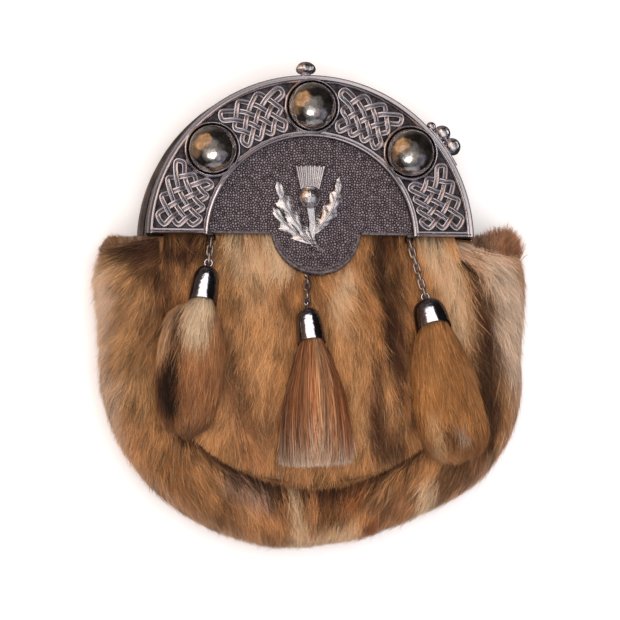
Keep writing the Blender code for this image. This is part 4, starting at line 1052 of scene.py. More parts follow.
def growHair(name, surface, a, b, runA, runB, look, tone, material, seed, stretch=1.0):
    # flat tapered hairs that run along a surface of two numbers, drawn together into locks
    draw = np.random.default_rng(seed)
    clumps = clumpOf(a, b, look, seed)
    heights = (np.arange(look["steps"] + 1) / look["steps"]) ** look["spacing"]
    points = hairPoints(surface, a, b, runA, runB, look, heights, clumps, draw, stretch)
    mesh, along, aside = hairMesh(name, points, len(a), heights)
    paintHair(mesh, look, tone, clumps[2], heights, draw)
    mapHair(mesh, len(a), along, aside, draw)
    dressMesh(name, mesh, [material], (), 180.0)
    print(name, len(a), "hairs")


def hairPoints(surface, a, b, runA, runB, look, heights, clumps, draw, stretch):
    # both edges of every hair at each height, then its tip
    count = len(a)
    length = look["length"] * (1.0 + look["spread"] * draw.uniform(-1.0, 1.0, count)) * stretch
    length *= np.where(draw.random(count) < look["guard"], 1.35, 1.0)
    clumpA, clumpB, clumpTone = clumps
    pull = draw.uniform(0.5, 1.0, count)
    pullA, pullB = pull * look["gather"][0], pull * look["gather"][1]
    sway = draw.normal(0.0, look["sway"], count)
    lift = look["lift"] * draw.uniform(0.4, 1.3, count)

    def at(t):
        ease = t ** 1.4
        return surface(a + runA * t * length + (clumpA - a) * pullA * ease,
                       b + runB * t * length + (clumpB - b) * pullB * ease)

    stepA, stepB = look["probe"]
    sideways = surface(a + stepA, b) - surface(a - stepA, b)
    upways = surface(a, b + stepB) - surface(a, b - stepB)
    normal = unitRows(np.cross(sideways, upways)) * look["side"]
    base = at(0.0)
    aim = unitRows(at(0.35) - base)
    across = np.cross(aim, normal)
    roll = draw.uniform(-look["roll"], look["roll"], count)[:, None]
    flat = across * np.cos(roll) + normal * np.sin(roll)
    phase = draw.uniform(0.0, 2 * np.pi, count)
    middle = []
    for t in heights:
        rise = length * (lift * t - look["settle"] * lift * t * t)
        straight = base + aim * (length * t)[:, None]
        point = at(t) * look["cling"] + straight * (1.0 - look["cling"])
        curl = look["wave"] * np.sin(phase + 5.0 * t) * t
        point = point + normal * (rise - look["sink"])[:, None]
        middle.append(point + across * (sway * length * t * t + curl)[:, None])
    width = look["width"] * draw.uniform(0.7, 1.2, count)
    rows = []
    for share, point in zip(heights[:-1], middle):
        half = (width * (1.0 - share ** 2.0) ** look["taper"] * 0.5)[:, None]
        rows += [point - flat * half, point + flat * half]
    rows.append(middle[-1])
    points = np.stack(rows, axis=1).reshape(-1, 3) * mm + np.array([chordX, chordY, 0.0])
    points[:, 2] = np.maximum(points[:, 2], 0.0002)   # the fur spreads on what the pouch lies on
    return points


def unitRows(vectors):
    return vectors / np.maximum(np.linalg.norm(vectors, axis=1, keepdims=True), 1e-9)


def hairMesh(name, points, count, heights):
    # four-sided faces up each hair and a triangle at its tip, with each corner's height and side
    steps = len(heights) - 1
    per = 2 * steps + 1
    pattern, sizes, along = [], [], []
    for step in range(steps - 1):
        pattern += [2 * step, 2 * step + 1, 2 * step + 3, 2 * step + 2]
        along += [heights[step], heights[step], heights[step + 1], heights[step + 1]]
        sizes.append(4)
    pattern += [per - 3, per - 2, per - 1]
    along += [heights[steps - 1], heights[steps - 1], 1.0]
    sizes.append(3)
    aside = [0.5 if corner == per - 1 else float(corner % 2) for corner in pattern]
    corners = (np.arange(count)[:, None] * per + np.array(pattern)[None, :]).ravel()
    starts = (np.arange(count)[:, None] * len(pattern) + np.cumsum([0] + sizes[:-1])[None, :]).ravel()

    mesh = bpy.data.meshes.new(name)
    mesh.vertices.add(count * per)
    mesh.vertices.foreach_set("co", points.astype(np.float32).ravel())
    mesh.loops.add(len(corners))
    mesh.loops.foreach_set("vertex_index", corners.astype(np.int32))
    mesh.polygons.add(len(starts))
    mesh.polygons.foreach_set("loop_start", starts.astype(np.int32))
    mesh.update(calc_edges=True)
    return mesh, np.array(along), np.array(aside)


def paintHair(mesh, look, tone, clumpTone, heights, draw):
    # each hair's colour, banded along it, some with pale or dark tips, none brighter than fur can be
    count = len(tone)
    shade = tone * (1.0 + look["mottle"] * draw.uniform(-1.0, 1.0, count))[:, None]
    shade *= (1.0 + look["clumpShade"] * (clumpTone - 0.5) * 2.0)[:, None]
    heights = np.append(np.repeat(heights[:-1], 2), 1.0)
    colours = np.ones((count, len(heights), 4), np.float32)
    fleck, cycles = look["fleck"]
    turn = 2 * np.pi * (heights[None, :] * cycles + draw.random(count)[:, None])
    colours[:, :, :3] = shade[:, None, :] * (1.0 + fleck * np.sin(turn))[:, :, None]
    for code, share, start in look["tips"]:
        chosen = draw.random(count) < share
        cover = np.clip((heights - start) / 0.2, 0.0, 1.0)[None, :, None] * look["tipCover"]
        cover = cover * np.clip(tone[chosen, 0] / 0.3, look["tipFloor"], 1.0)[:, None, None]
        colours[chosen, :, :3] += (np.array(hexLinear(code)) - colours[chosen, :, :3]) * cover
    brightest = colours[:, :, :3].max(axis=2, keepdims=True)
    colours[:, :, :3] *= np.minimum(1.0, 0.86 / np.maximum(brightest, 0.01))
    marking = mesh.attributes.new("marking", "FLOAT_COLOR", "POINT")
    marking.data.foreach_set("color", colours.ravel())


def mapHair(mesh, count, along, aside, draw):
    # one map runs up each hair, and the other gives each hair a small cell of its own to bake into
    strandMap = np.empty((count, len(along), 2), np.float32)
    strandMap[:, :, 0] = draw.random(count)[:, None]
    strandMap[:, :, 1] = along[None, :]
    mesh.uv_layers.new(name="strand").data.foreach_set("uv", strandMap.ravel())
    cells = math.ceil(math.sqrt(count))
    cellX, cellY = np.arange(count) % cells, np.arange(count) // cells
    bakeMap = np.empty((count, len(along), 2), np.float32)
    bakeMap[:, :, 0] = (cellX[:, None] + 0.2 + 0.6 * aside[None, :]) / cells
    bakeMap[:, :, 1] = (cellY[:, None] + 0.1 + 0.8 * along[None, :]) / cells
    mesh.uv_layers.new(name="OFBake").data.foreach_set("uv", bakeMap.ravel())


def clumpOf(a, b, look, seed):
    # the centre and a random number of the lock that each root belongs to
    sizeA, sizeB = look["clump"]
    i, j = np.floor(a / sizeA).astype(np.int64), np.floor(b / sizeB).astype(np.int64)
    jitterA, jitterB = hashGrid(i, j, seed + 11), hashGrid(i, j, seed + 12)
    return (i + 0.15 + 0.7 * jitterA) * sizeA, (j + 0.15 + 0.7 * jitterB) * sizeB, hashGrid(i, j, seed + 13)


def growHalves(name, surface, a, b, runA, runB, look, tone, seed, stretch):
    # two pieces, left and right, so that neither has too many triangles
    order = np.argsort(a)
    half = len(a) // 2
    for part, side in ((order[:half], "left"), (order[half:], "right")):
        growHair(f"{name}_{side}", surface, a[part], b[part], runA[part], runB[part], look, tone[part],
                 furHair, seed, stretch[part])


# what most of the hair shares, in millimetres and in shares of a hair's length
commonHair = {
    "steps": 2, "spread": 0.3, "lift": 0.26, "settle": 0.6, "probe": (0.4, 0.4), "side": 1.0, "roll": 0.7,
    "sink": 0.25, "width": 0.27, "tipCover": 0.65, "tipFloor": 0.15, "wave": 0.0, "taper": 0.7,
    "spacing": 1.0, "fleck": (0.22, 1.0),
}

frontFur = {
    **commonHair, "count": 96000, "length": 12.0, "clump": (3.4, 5.0), "gather": (0.55, 0.3), "sway": 0.15,
    "mottle": 0.34, "clumpShade": 0.42, "cling": 0.75, "guard": 0.09,
    "tips": (("e2c49a", 0.10, 0.45), ("2e1b14", 0.14, 0.55)),
    # where its roots are: across, from and to along, and clear of the leather tongue
    "halfWidth": 66.0, "lowest": -110.4, "highest": 3.0, "tongueClear": 15.0, "underFrame": (-1.5, 62.0),
    "trim": ((0.0, 4.0, 12.0), (0.1, 0.4, 1.0)),   # millimetres above the seam, and the hair's length there
}


def growFrontFur():
    draw = np.random.default_rng(31)
    look = frontFur
    x = draw.uniform(-look["halfWidth"], look["halfWidth"], look["count"] * 2)
    y = draw.uniform(look["lowest"], look["highest"], look["count"] * 2)
    fromTongue = (x - field["tongueX"]) ** 2 + (y - field["tongueY"]) ** 2
    frameY, frameHalf = look["underFrame"]
    keep = np.abs(x) < seamHalfWidth(y) + 0.4
    keep &= ~((fromTongue < look["tongueClear"] ** 2) & (y < 6))
    keep &= ~((y > frameY) & (np.abs(x) < frameHalf) & (draw.random(len(x)) < 0.6))
    x, y = x[keep][:look["count"]], y[keep][:look["count"]]
    # the hair lies down the front, and veers in two sizes of swirl and out towards the seam
    veer = 0.5 * (patches(x, y * 0.6, 16.0, 41) - 0.5) + 0.7 * (patches(x, y * 0.7, 5.5, 42) - 0.5)
    veer += 0.0028 * x * np.clip(-y / 110.0, 0.0, 1.0) - 0.0022 * x * np.clip((-y - 60.0) / 50.0, 0, 1)
    veer += draw.normal(0.0, 0.10, len(x))
    reach = 0.75 * look["length"]
    tone = peltTone(x + np.sin(veer) * reach, y - np.cos(veer) * reach, 3)
    # painted shade: the front's hair darkens near its bottom seam, where the crease along the seam lies in
    # shade
    tone = blendTone(tone, peltColours["dark"], 0.6 * np.clip((-96.0 - y + 0.0022 * x * x) / 14.0, 0, 1))
    lowest = bellyY - front["seamDepth"] * np.sqrt(1.0 - np.clip(x / front["seamHalf"], -1.0, 1.0) ** 2)
    shorter = np.interp(y - lowest, *look["trim"])
    growHalves("fur_front", frontSurface, x, y, np.sin(veer), -np.cos(veer), look, tone, 7, shorter)


bandFur = {
    **commonHair, "count": 104000, "length": 12.5, "clump": (0.011, 0.34), "gather": (0.4, 0.4), "sway": 0.17,
    "probe": (0.002, 0.03), "side": -1.0, "mottle": 0.36, "clumpShade": 0.52, "cling": 0.45, "guard": 0.14,
    "tips": (("e2c49a", 0.10, 0.45), ("2e1b14", 0.12, 0.55)),
    "lastRoot": 6.2, "density": ((0.0, 0.4, 1.0, 3.4, 4.2, 6.2), (0.9, 1.0, 1.0, 0.9, 0.45, 0.25)),
    # how much the hair runs along the band, from the front seam outwards, and on the right side
    "sweep": ((0.0, 1.0, 2.5), (0.98, 0.92, 0.76)), "sweepRight": ((0.0, 1.0, 2.5), (0.99, 0.98, 0.95)),
    "tuftAt": 0.546, "tuftSpan": 0.014, "tuftStretch": 0.8,
}


def growBandFur():
    draw = np.random.default_rng(32)
    look = bandFur
    total = look["count"] * 2
    s, v = draw.uniform(0.0, 1.0, total), draw.uniform(0.0, look["lastRoot"], total)
    keep = draw.random(total) < np.interp(v, *look["density"])
    s, v = s[keep][:look["count"]], v[keep][:look["count"]]
    base = bandSurface(s, v)
    stepS = np.linalg.norm(bandSurface(s + 0.002, v) - bandSurface(s - 0.002, v), axis=1) / 0.004
    stepV = np.linalg.norm(bandSurface(s, v + 0.03) - bandSurface(s, v - 0.03), axis=1) / 0.06
    toBottom = np.tanh((0.5 - s) * 14.0)
    swirl = 0.5 * (patches(s * 300, v * 6, 16.0, 51) - 0.5) + 0.6 * (patches(s * 300, v * 6, 5.0, 52) - 0.5)
    shoulder = np.clip(1.0 + base[:, 1] / np.where(s < 0.5, 14.0, 11.0), 0.0, 1.0)
    sweep = np.interp(v, *look["sweep"]) + swirl * 0.5
    straighter = np.interp(v, *look["sweepRight"]) + swirl * 0.12
    sweep += (straighter - sweep) * np.clip((s - 0.6) / 0.1, 0.0, 1.0)
    sweep -= shoulder * np.where(s < 0.5, 0.9, 0.5)
    # one lock stands out under the bag
    tuft = np.exp(-((s - look["tuftAt"]) / look["tuftSpan"]) ** 4) * np.clip(v - 1.2, 0.0, 1.0)
    sweep = np.clip(sweep - 0.8 * tuft, -0.97, 0.995)
    outward = np.sqrt(np.maximum(1.0 - (sweep * toBottom) ** 2, 0.02))
    runS = sweep * toBottom / np.maximum(stepS, 1.0)
    runV = outward / np.maximum(stepV, 0.5)
    reach = 0.75 * look["length"]
    ahead = bandSurface(np.clip(s + runS * reach, 0, 1), np.clip(v + runV * reach, 0, 7))
    # painted shade under the front's edge low down, where the band's roots lie under the overhanging front
    # hair; paler on the rim, browner behind
    tone = peltTone(ahead[:, 0], ahead[:, 1], 3)
    tone = blendTone(tone, peltColours["dark"], 0.95 * np.clip(1.3 - v / 0.28, 0, 1) * (base[:, 1] < -66.0))
    rim = np.clip(1.0 - np.abs(v - 2.7) / 0.9, 0.0, 1.0) * np.clip(tone[:, 0] * 6.0 - 0.5, 0.0, 1.0)
    tone = blendTone(tone, peltColours["pinkCream"], np.where(s < 0.3, 0.85, 0.5) * rim)
    tone = blendTone(tone, peltColours["brown"], 0.6 * np.clip((v - 4.2) / 1.0, 0, 1))
    growHalves("fur_band", bandSurface, s, v, runS, runV, look, tone, 8, 1.0 + look["tuftStretch"] * tuft)


# the hair that stands up over the bag's two top corners
shoulderFur = {
    **commonHair, "count": 3600, "length": 7.0, "spread": 0.35, "clump": (3.0, 3.0), "gather": (0.0, 0.0),
    "sway": 0.16, "lift": 0.1, "settle": 0.4, "roll": 0.9, "sink": 0.0, "mottle": 0.35, "clumpShade": 0.0,
    "cling": 1.0, "guard": 0.1, "fleck": (0.2, 1.0), "tips": (("d9ab80", 0.3, 0.5), ("2e1b14", 0.1, 0.55)),
    "rows": (0.9, 3.3), "inner": ((76.0, 88.0), (0.4, 1.0)),   # roots round the band, length by distance out
}
shoulders = (   # name, first and last share round the band, lean outwards, stretch, colour
    ("left", 0.001, 0.030, -0.85, 0.46, "8a6342"),
    ("right", 0.958, 0.999, 0.15, 1.1, "aa683e"),
)


def growShoulders():
    draw = np.random.default_rng(34)
    count = shoulderFur["count"]
    for name, first, last, outward, stretch, code in shoulders:
        if first > 0.5:
            s = last - (last - first) * draw.random(count) ** 1.6
        else:
            s = draw.uniform(first, last, count)
        roots = bandSurface(s, draw.uniform(*shoulderFur["rows"], count))
        shorter = np.interp(np.abs(roots[:, 0]), *shoulderFur["inner"])
        lean = [draw.normal(outward, 0.3, count), np.ones(count), draw.normal(0.1, 0.25, count)]
        lean = np.stack(lean, axis=1)
        lean /= np.linalg.norm(lean, axis=1, keepdims=True)
        aside = np.cross(lean, np.array([0.0, 0.0, 1.0]))

        def blades(a, b):
            return roots + lean * a[:, None] + aside * b[:, None]

        pale = 0.25 * patches(roots[:, 0] * 2, roots[:, 2] * 2, 3.0, 72)
        tone = blendTone(plainTone(code, count), "5d3822", 0.7 * patches(roots[:, 0], roots[:, 2], 3.0, 71))
        tone = blendTone(tone, "3a2217", 0.85 * np.clip((86.0 - np.abs(roots[:, 0])) / 8.0, 0.0, 1.0))
        tone = blendTone(tone, peltColours["pinkCream"], pale)
        none = np.zeros(count)
        growHair(f"fur_shoulder_{name}", blades, none, none, none + 1.0, none, shoulderFur, tone,
                 furHair, 12, stretch * shorter)


# x and y of the cap's mouth and top and of the chain's hook; each section is y, x, half width, half thickness
tassels = {
    "left": {
        "mouth": (-50.1, -31.8), "top": (-47.0, -15.0), "radius": 6.5, "topRise": 4.0,
        "chain": (-45.2, -1.6), "hook": "cantle",
        "sections": ((-36.5, -52.2, 9.4, 6.4), (-44.5, -54.0, 12.6, 7.0), (-57.0, -55.4, 13.8, 7.5),
                     (-73.0, -56.6, 13.0, 7.2), (-83.0, -57.0, 10.6, 5.6), (-87.0, -56.6, 6.5, 3.4)),
    },
    "centre": {
        "mouth": (-2.4, -49.4), "top": (-3.4, -33.8), "radius": 6.4, "topRise": 4.2,
        "chain": (-1.6, -14.6), "hook": "tongue",
        "sections": ((-52.6, -1.8, 7.2, 4.8), (-58.0, -1.4, 9.0, 5.0), (-66.0, -1.0, 11.4, 4.8),
                     (-80.0, -0.6, 14.2, 4.4), (-94.0, 0.4, 15.4, 3.6), (-101.5, 0.6, 15.6, 1.8)),
    },
    "right": {
        "mouth": (53.0, -42.9), "top": (50.9, -29.6), "radius": 8.1, "topRise": 4.6,
        "chain": (44.6, -1.6), "hook": "cantle",
        "sections": ((-48.5, 53.6, 9.6, 7.0), (-60.5, 56.2, 12.2, 7.6), (-74.0, 58.8, 14.0, 7.8),
                     (-87.0, 62.0, 14.8, 7.4), (-94.5, 63.4, 13.0, 5.8), (-98.5, 63.8, 9.0, 3.6)),
    },
}

chain = {
    "wire": 0.9, "width": 3.6, "pitch": 3.7, "lap": 0.78, "eye": 1.7, "eyeZ": 30.8, "tuck": 1.4, "play": 0.2,
    "lug": (1.6, 1.5),
    "linkWire": 1.25, "linkGrow": 1.65,   # the links drawn here are longer, so that each one holds the next
}

cap = {
    # share of the radius and of the length, outside and inside
    "outside": ((0.0, 1.0), (0.2, 0.995), (0.42, 0.965), (0.60, 0.915), (0.74, 0.85), (0.85, 0.75),
                (0.92, 0.62), (0.96, 0.45), (0.98, 0.25), (0.99, 0.10), (0.99, 0.03), (0.98, 0.008),
                (0.95, 0.0)),
    "inside": ((1.0, 0.02), (1.0, 0.62), (0.6, 0.80), (0.0, 0.84)),
    "tests": ((0.00, 1.00), (0.42, 0.97), (0.70, 0.88), (0.88, 0.72), (0.96, 0.42), (1.00, 0.00)),
    "wall": 0.9, "steps": 48, "rest": 0.5, "restGap": 0.6, "headDepth": 6.0, "headPlay": 0.55,
}


def capAxis(tassel):
    # mouth and top of a cap that leans back against the fur
    radius = tassel["radius"]
    mouthX, mouthY = tassel["mouth"]
    topX, topY = tassel["top"]
    low = max(float(frontHeight(mouthX + side * radius * 0.6, mouthY)) for side in (-1.0, 0.0, 1.0))
    mouth = Vector((mouthX, mouthY, low + radius + cap["rest"]))
    top = Vector((topX, topY, float(frontHeight(topX, topY)) + tassel["topRise"]))
    lift = 0.0
    for share, height in cap["tests"]:
        middle = mouth.lerp(top, height)
        for side in (-0.7, 0.0, 0.7):
            skin = float(frontHeight(middle.x + side * radius * share, middle.y))
            drop = radius * share * math.sqrt(1.0 - side * side) + cap["rest"]
            lift = max(lift, skin + drop - middle.z)
    raised = Vector((0.0, 0.0, lift))
    return mouth + raised, top + raised


def chainStart(tassel):
    x, y = tassel["chain"]
    if tassel["hook"] == "cantle":
        return Vector((x, y, chain["eyeZ"]))
    return Vector((x, y, field["z"] + tongueRise(y) - chain["tuck"]))


def capEye(tassel):
    mouth, top = capAxis(tassel)
    return top + (top - mouth).normalized() * (chain["eye"] + chain["wire"] * 0.2)


def linkFrame(axis, flat):
    side = axis.cross(Vector((0.0, 0.0, 1.0))).normalized()
    up = side.cross(axis).normalized()
    columns = (axis, -side, up) if flat else (axis, up, side)
    return Matrix(columns).transposed().to_4x4()


def wireRing(target, halfStraight, radius, matrix, wire=chain["wire"], segments=24, sides=10):
    # an oval link: a ring of wire whose two halves are moved apart
    ring = bmesh.new()
    upright = Matrix.Translation((radius, 0.0, 0.0)) @ Matrix.Rotation(math.pi / 2, 4, "X")
    verts = bmesh.ops.create_circle(ring, segments=sides, radius=wire / 2, matrix=upright)["verts"]
    bmesh.ops.rotate(ring, verts=verts, cent=(0, 0, 0), matrix=Matrix.Rotation(math.pi / segments, 3, "Z"))
    bmesh.ops.spin(ring, geom=ring.verts[:] + ring.edges[:], cent=(0, 0, 0), axis=(0, 0, 1),
                   angle=2 * math.pi, steps=segments, use_merge=True)
    for vert in ring.verts:
        vert.co.x += math.copysign(halfStraight, vert.co.x)
    faceOutwards(ring)
    bmesh.ops.transform(ring, matrix=matrix, verts=ring.verts[:])
    joinShapes(target, ring)


def chainEnds(tassel):
    start, end = chainStart(tassel), capEye(tassel)
    line = (end - start).normalized()
    first = start + line * chain["play"] if tassel["hook"] == "cantle" else start
    return first, end - line * chain["play"]


def linkCount(tassel):
    first, last = chainEnds(tassel)
    return round(((last - first).length - chain["lap"]) / chain["pitch"])


def makeLug(tassel):
    # the eye cast on the frame's foot, with its short lug
    centre = chainStart(tassel)
    line = (capEye(tassel) - centre).normalized()
    body = bmesh.new()
    wireRing(body, 0.0, chain["eye"], Matrix.Translation(centre) @ linkFrame(line, True))
    side = math.copysign(1.0, centre.x)
    inner, outer = sorted((centre.x + side * -0.9, side * (arch["inner"] + 1.6)))
    lug = bmesh.new()
    size = Vector((outer - inner, *chain["lug"]))
    middle = Vector(((inner + outer) / 2, 0.1, centre.z))
    bmesh.ops.create_cube(lug, size=1.0, matrix=Matrix.Translation(middle) @ Matrix.Diagonal((*size, 1.0)))
    bmesh.ops.bevel(lug, geom=lug.edges[:], offset=0.3, affect="EDGES", segments=2, profile=0.5, material=-1)
    joinShapes(body, lug)
    return body


def makeChains():
    for name, tassel in tassels.items():
        first, last = chainEnds(tassel)
        count = linkCount(tassel)
        line = (last - first).normalized()
        pitch = ((last - first).length - chain["lap"]) / count
        radius = (chain["width"] - chain["linkWire"]) / 2
        halfStraight = (pitch + chain["lap"] + chain["linkGrow"] - chain["linkWire"]) / 2 - radius
        body = bmesh.new()
        for index in range(count):
            flat = (index % 2 == 1) if tassel["hook"] == "cantle" else (index % 2 == 0)
            centre = first + line * ((pitch + chain["lap"]) / 2 + index * pitch)
            place = Matrix.Translation(centre) @ linkFrame(line, flat)
            wireRing(body, halfStraight, radius, place, chain["linkWire"])
        makePiece(f"chain_links_{name}", body, [wornChrome], [f"chain_{name}"])


def makeCaps():
    for name, tassel in tassels.items():
        mouth, top = capAxis(tassel)
        length = (top - mouth).length
        radius = tassel["radius"]
        profile = [(radius * share, length * height) for share, height in cap["outside"]]
        profile += [((radius - cap["wall"]) * share, length * height) for share, height in cap["inside"]]
        place = Matrix.Translation(mouth) @ (top - mouth).to_track_quat("Z", "Y").to_matrix().to_4x4()
        body = spinProfile(profile, cap["steps"], place)
        flat = linkCount(tassel) % 2 == (1 if tassel["hook"] == "cantle" else 0)
        line = (capEye(tassel) - chainStart(tassel)).normalized()
        wireRing(body, 0.0, chain["eye"], Matrix.Translation(capEye(tassel)) @ linkFrame(line, flat))
        makePiece(f"cap_bell_{name}", body, [shadedCapChrome], [f"tassel_cap_{name}"])


def tasselLine(tassel):
    # middle, half width and half thickness of each section, from the head in the cap to the end
    mouth, top = capAxis(tassel)
    axis = (top - mouth).normalized()
    head = tassel["radius"] - cap["wall"] - cap["headPlay"]
    line = [(mouth + axis * cap["headDepth"], head, head), (mouth - axis * 0.4, head, head)]
    for y, x, halfWidth, halfThickness in tassel["sections"]:
        rest = -math.inf
        for count in range(9):
            turn = math.pi * count / 8
            for step in (-3.0, 0.0, 3.0):
                skin = float(frontHeight(x + halfWidth * math.cos(turn), y + step))
                rest = max(rest, skin + halfThickness * math.sin(turn))
        line.append((Vector((x, y, rest + cap["restGap"])), halfWidth, halfThickness))
    return line


def sectionAxes(line, index):
    before = line[max(0, index - 1)][0]
    after = line[min(len(line) - 1, index + 1)][0]
    if index <= 1:
        before, after = line[0][0], line[1][0]
    along = (after - before).normalized()
    side = along.cross(Vector((0.0, 0.0, 1.0))).normalized()
    return along, side, side.cross(along).normalized()


def rollSurface(tassel, taper):
    # the tassel's skin as a function of the share down it and the angle round it
    line = tasselLine(tassel)
    table = []
    for index, (middle, halfWidth, halfThickness) in enumerate(line):
        along, side, up = sectionAxes(line, index)
        table.append((*middle, *(side * halfWidth), *(up * halfThickness)))
    table = np.array(table)

    def surface(a, b):
        place = np.clip(a, 0.0, 1.0) * (len(table) - 1)
        rows = np.stack([smoothTable(table[:, column], place) for column in range(9)], axis=-1)
        past = np.maximum(a - 1.0, 0.0)[:, None]
        over = past * (table[-1, :3] - table[-2, :3])[None, :] * (len(table) - 1)
        narrow = 1.0 - 0.7 * np.clip(past / 0.12, 0.0, 1.0) * taper
        ring = rows[:, 3:6] * np.cos(b)[:, None] + rows[:, 6:9] * np.sin(b)[:, None]
        return rows[:, :3] + over + ring * narrow

    return surface, line


def makeTasselBody(name, surface, tall, fullness):
    # the rolled skin or bound core under a tassel's hair
    def skin(a, b):
        shell = surface(a, 2 * np.pi * b)
        middle = (shell + surface(a, 2 * np.pi * b + np.pi)) / 2
        return middle + (shell - middle) * fullness

    body = meshGrid(tall, 28, skin)
    bmesh.ops.remove_doubles(body, verts=body.verts[:], dist=0.01)
    closeEnds(body)
    makePiece(f"tassel_core_{name}", body, [underfur], [f"tassel_{name}"], 180.0)


rollFur = {
    **commonHair, "count": 22000, "length": 11.5, "clump": (0.045, 0.35), "gather": (0.2, 0.4), "sway": 0.06,
    "lift": 0.22, "settle": 0.7, "probe": (0.004, 0.03), "sink": 0.15, "mottle": 0.26, "clumpShade": 0.24,
    "cling": 0.55, "guard": 0.06, "tipCover": 0.5, "tips": (("e2c49a", 0.08, 0.5), ("3a231a", 0.08, 0.6)),
    "firstRoot": 0.075,
}

# strokes on the rolled tassels: colour, strength, softness, then points of x, y and half width
leftStrokes = (
    ("eccfab", 0.96, 0.14, ((-51, -30, 5.5), (-53, -41, 6.2), (-54, -48, 3.4))),
    ("d6ab82", 0.95, 0.12, ((-60, -33, 1.8), (-66, -42, 2.4), (-68, -52, 2.4))),
    ("2a1710", 0.9, 0.12, ((-60.5, -36, 0.9), (-62, -42, 1.8), (-62.6, -53, 2.2))),
    ("0d0605", 0.98, 0.1, ((-64, -57, 3.2), (-65, -63, 4.6), (-65, -72, 4.8), (-64, -78, 3.6))),
    ("a8724a", 0.7, 0.2, ((-45, -40, 2.5), (-42, -60, 3), (-43, -76, 3))),
)
rightStrokes = (
    ("c4ae98", 0.8, 0.2, ((63, -88, 1.2), (65, -89, 1.3), (66, -92, 1.0))),
    ("4a2c1d", 0.8, 0.3, ((58, -88, 1.4), (62, -92, 1.6))),
    ("d9b184", 0.7, 0.3, ((51, -82, 1.6), (55, -96, 2.0))),
)


def paintStrokes(tone, x, y, strokes):
    for code, strength, softness, points in strokes:
        tone = blendTone(tone, code, strength * strokeCover(x, y, points, softness))
    return tone


def leftTone(x, y):
    tone = blendTone(plainTone("bf8254", len(x)), "7f5136", 0.7 * patches(x, y * 0.5, 6.0, 61))
    tone = paintStrokes(tone, x, y, leftStrokes)
    return blendTone(tone, "3b2318", 0.7 * np.clip((-80.0 - y) / 5.0, 0.0, 1.0))


def rightTone(x, y):
    tone = blendTone(plainTone("c58850", len(x)), "80502d", 0.7 * patches(x, y * 0.6, 7.0, 62))
    tone = paintStrokes(tone, x, y, (("bb8450", 0.7, 0.3, ((50, -48, 5), (53, -62, 5))),))
    tone = blendTone(tone, "6b4229", 0.75 * np.clip((-72.0 - y) / 20.0, 0.0, 1.0) * patches(x, y, 4.0, 65))
    return paintStrokes(tone, x, y, rightStrokes)


def centreTone(x, y):
    tone = plainTone("a86b42", len(x))
    for code, strength, stretch, seed in (("d3a67c", 0.6, 1.6, 63), ("4d2e22", 0.7, 1.5, 64)):
        streaks = np.clip(patches(x * stretch, y * 0.3, 3.0, seed) * 2.2 - 1.0, 0, 1)
        tone = blendTone(tone, code, strength * streaks)
    return tone


tailFur = {
    **commonHair, "count": 15500, "steps": 4, "length": 1.0, "spread": 0.0, "clump": (9.0, 0.30),
    "gather": (0.0, 0.25), "sway": 2.4, "lift": 0.0, "settle": 0.0, "probe": (0.004, 0.03), "roll": 0.9,
    "sink": 0.0, "width": 0.30, "mottle": 0.4, "clumpShade": 0.18, "cling": 1.0, "guard": 0.0,
    "tipCover": 0.95, "tipFloor": 1.0, "wave": 1.1, "taper": 0.2, "spacing": 0.42, "fleck": (0.28, 2.0),
    "tips": (("fae8d2", 0.75, 0.82),),
}


def growRoll(name, toneOf, draw):
    surface, line = rollSurface(tassels[name], 1.0)
    makeTasselBody(name, surface, 40, 1.0)
    look = rollFur
    tall = sum((b[0] - a[0]).length for a, b in zip(line, line[1:]))
    a = draw.uniform(look["firstRoot"], 1.0, look["count"])
    b = draw.uniform(0.0, 2 * np.pi, look["count"])
    stepA = np.linalg.norm(surface(a + 0.01, b) - surface(a - 0.01, b), axis=1) / 0.02
    runA = 1.0 / np.maximum(stepA, tall * 0.4)
    runB = draw.normal(0.0, 0.012, look["count"])
    stretch = 1.0 - 0.6 * np.clip((a - 0.76) / 0.15, 0.0, 1.0)   # shorter over the end
    ahead = surface(np.minimum(a + runA * 0.55 * look["length"] * stretch, 1.05), b)
    growHair(f"tassel_fur_{name}", surface, a, b, runA, runB, look, toneOf(ahead[:, 0], ahead[:, 1]),
             furHair, 9, stretch)


def growTassels():
    draw = np.random.default_rng(33)
    growRoll("left", leftTone, draw)
    growRoll("right", rightTone, draw)
    surface, line = rollSurface(tassels["centre"], 0.0)
    makeTasselBody("centre", surface, 36, 0.55)
    look = tailFur
    depth = np.sqrt(draw.uniform(0.3, 1.0, look["count"]))

    def inside(a, b):
        # hairs keep their own depth in the bundle all the way down
        turn = b % (2 * np.pi)
        shell = surface(a, turn)
        core = (shell + surface(a, turn + np.pi)) / 2
        return core + (shell - core) * depth[:, None] * 1.04

    a = 0.10 + 0.12 * draw.random(look["count"]) ** 2
    a += 0.45 * (draw.random(look["count"]) < 0.4) * draw.random(look["count"])   # some start lower down
    b = draw.uniform(0.0, 2 * np.pi, look["count"])
    reach = (1.0 - a) * (1.04 - 0.26 * draw.random(look["count"]) ** 3)
    ends = inside(np.minimum(a + reach, 1.1), b)
    growHair("tassel_hair_centre", inside, a, b, reach, draw.normal(0.0, 0.10, look["count"]), look,
             centreTone(ends[:, 0], ends[:, 1]), tailHair, 10)


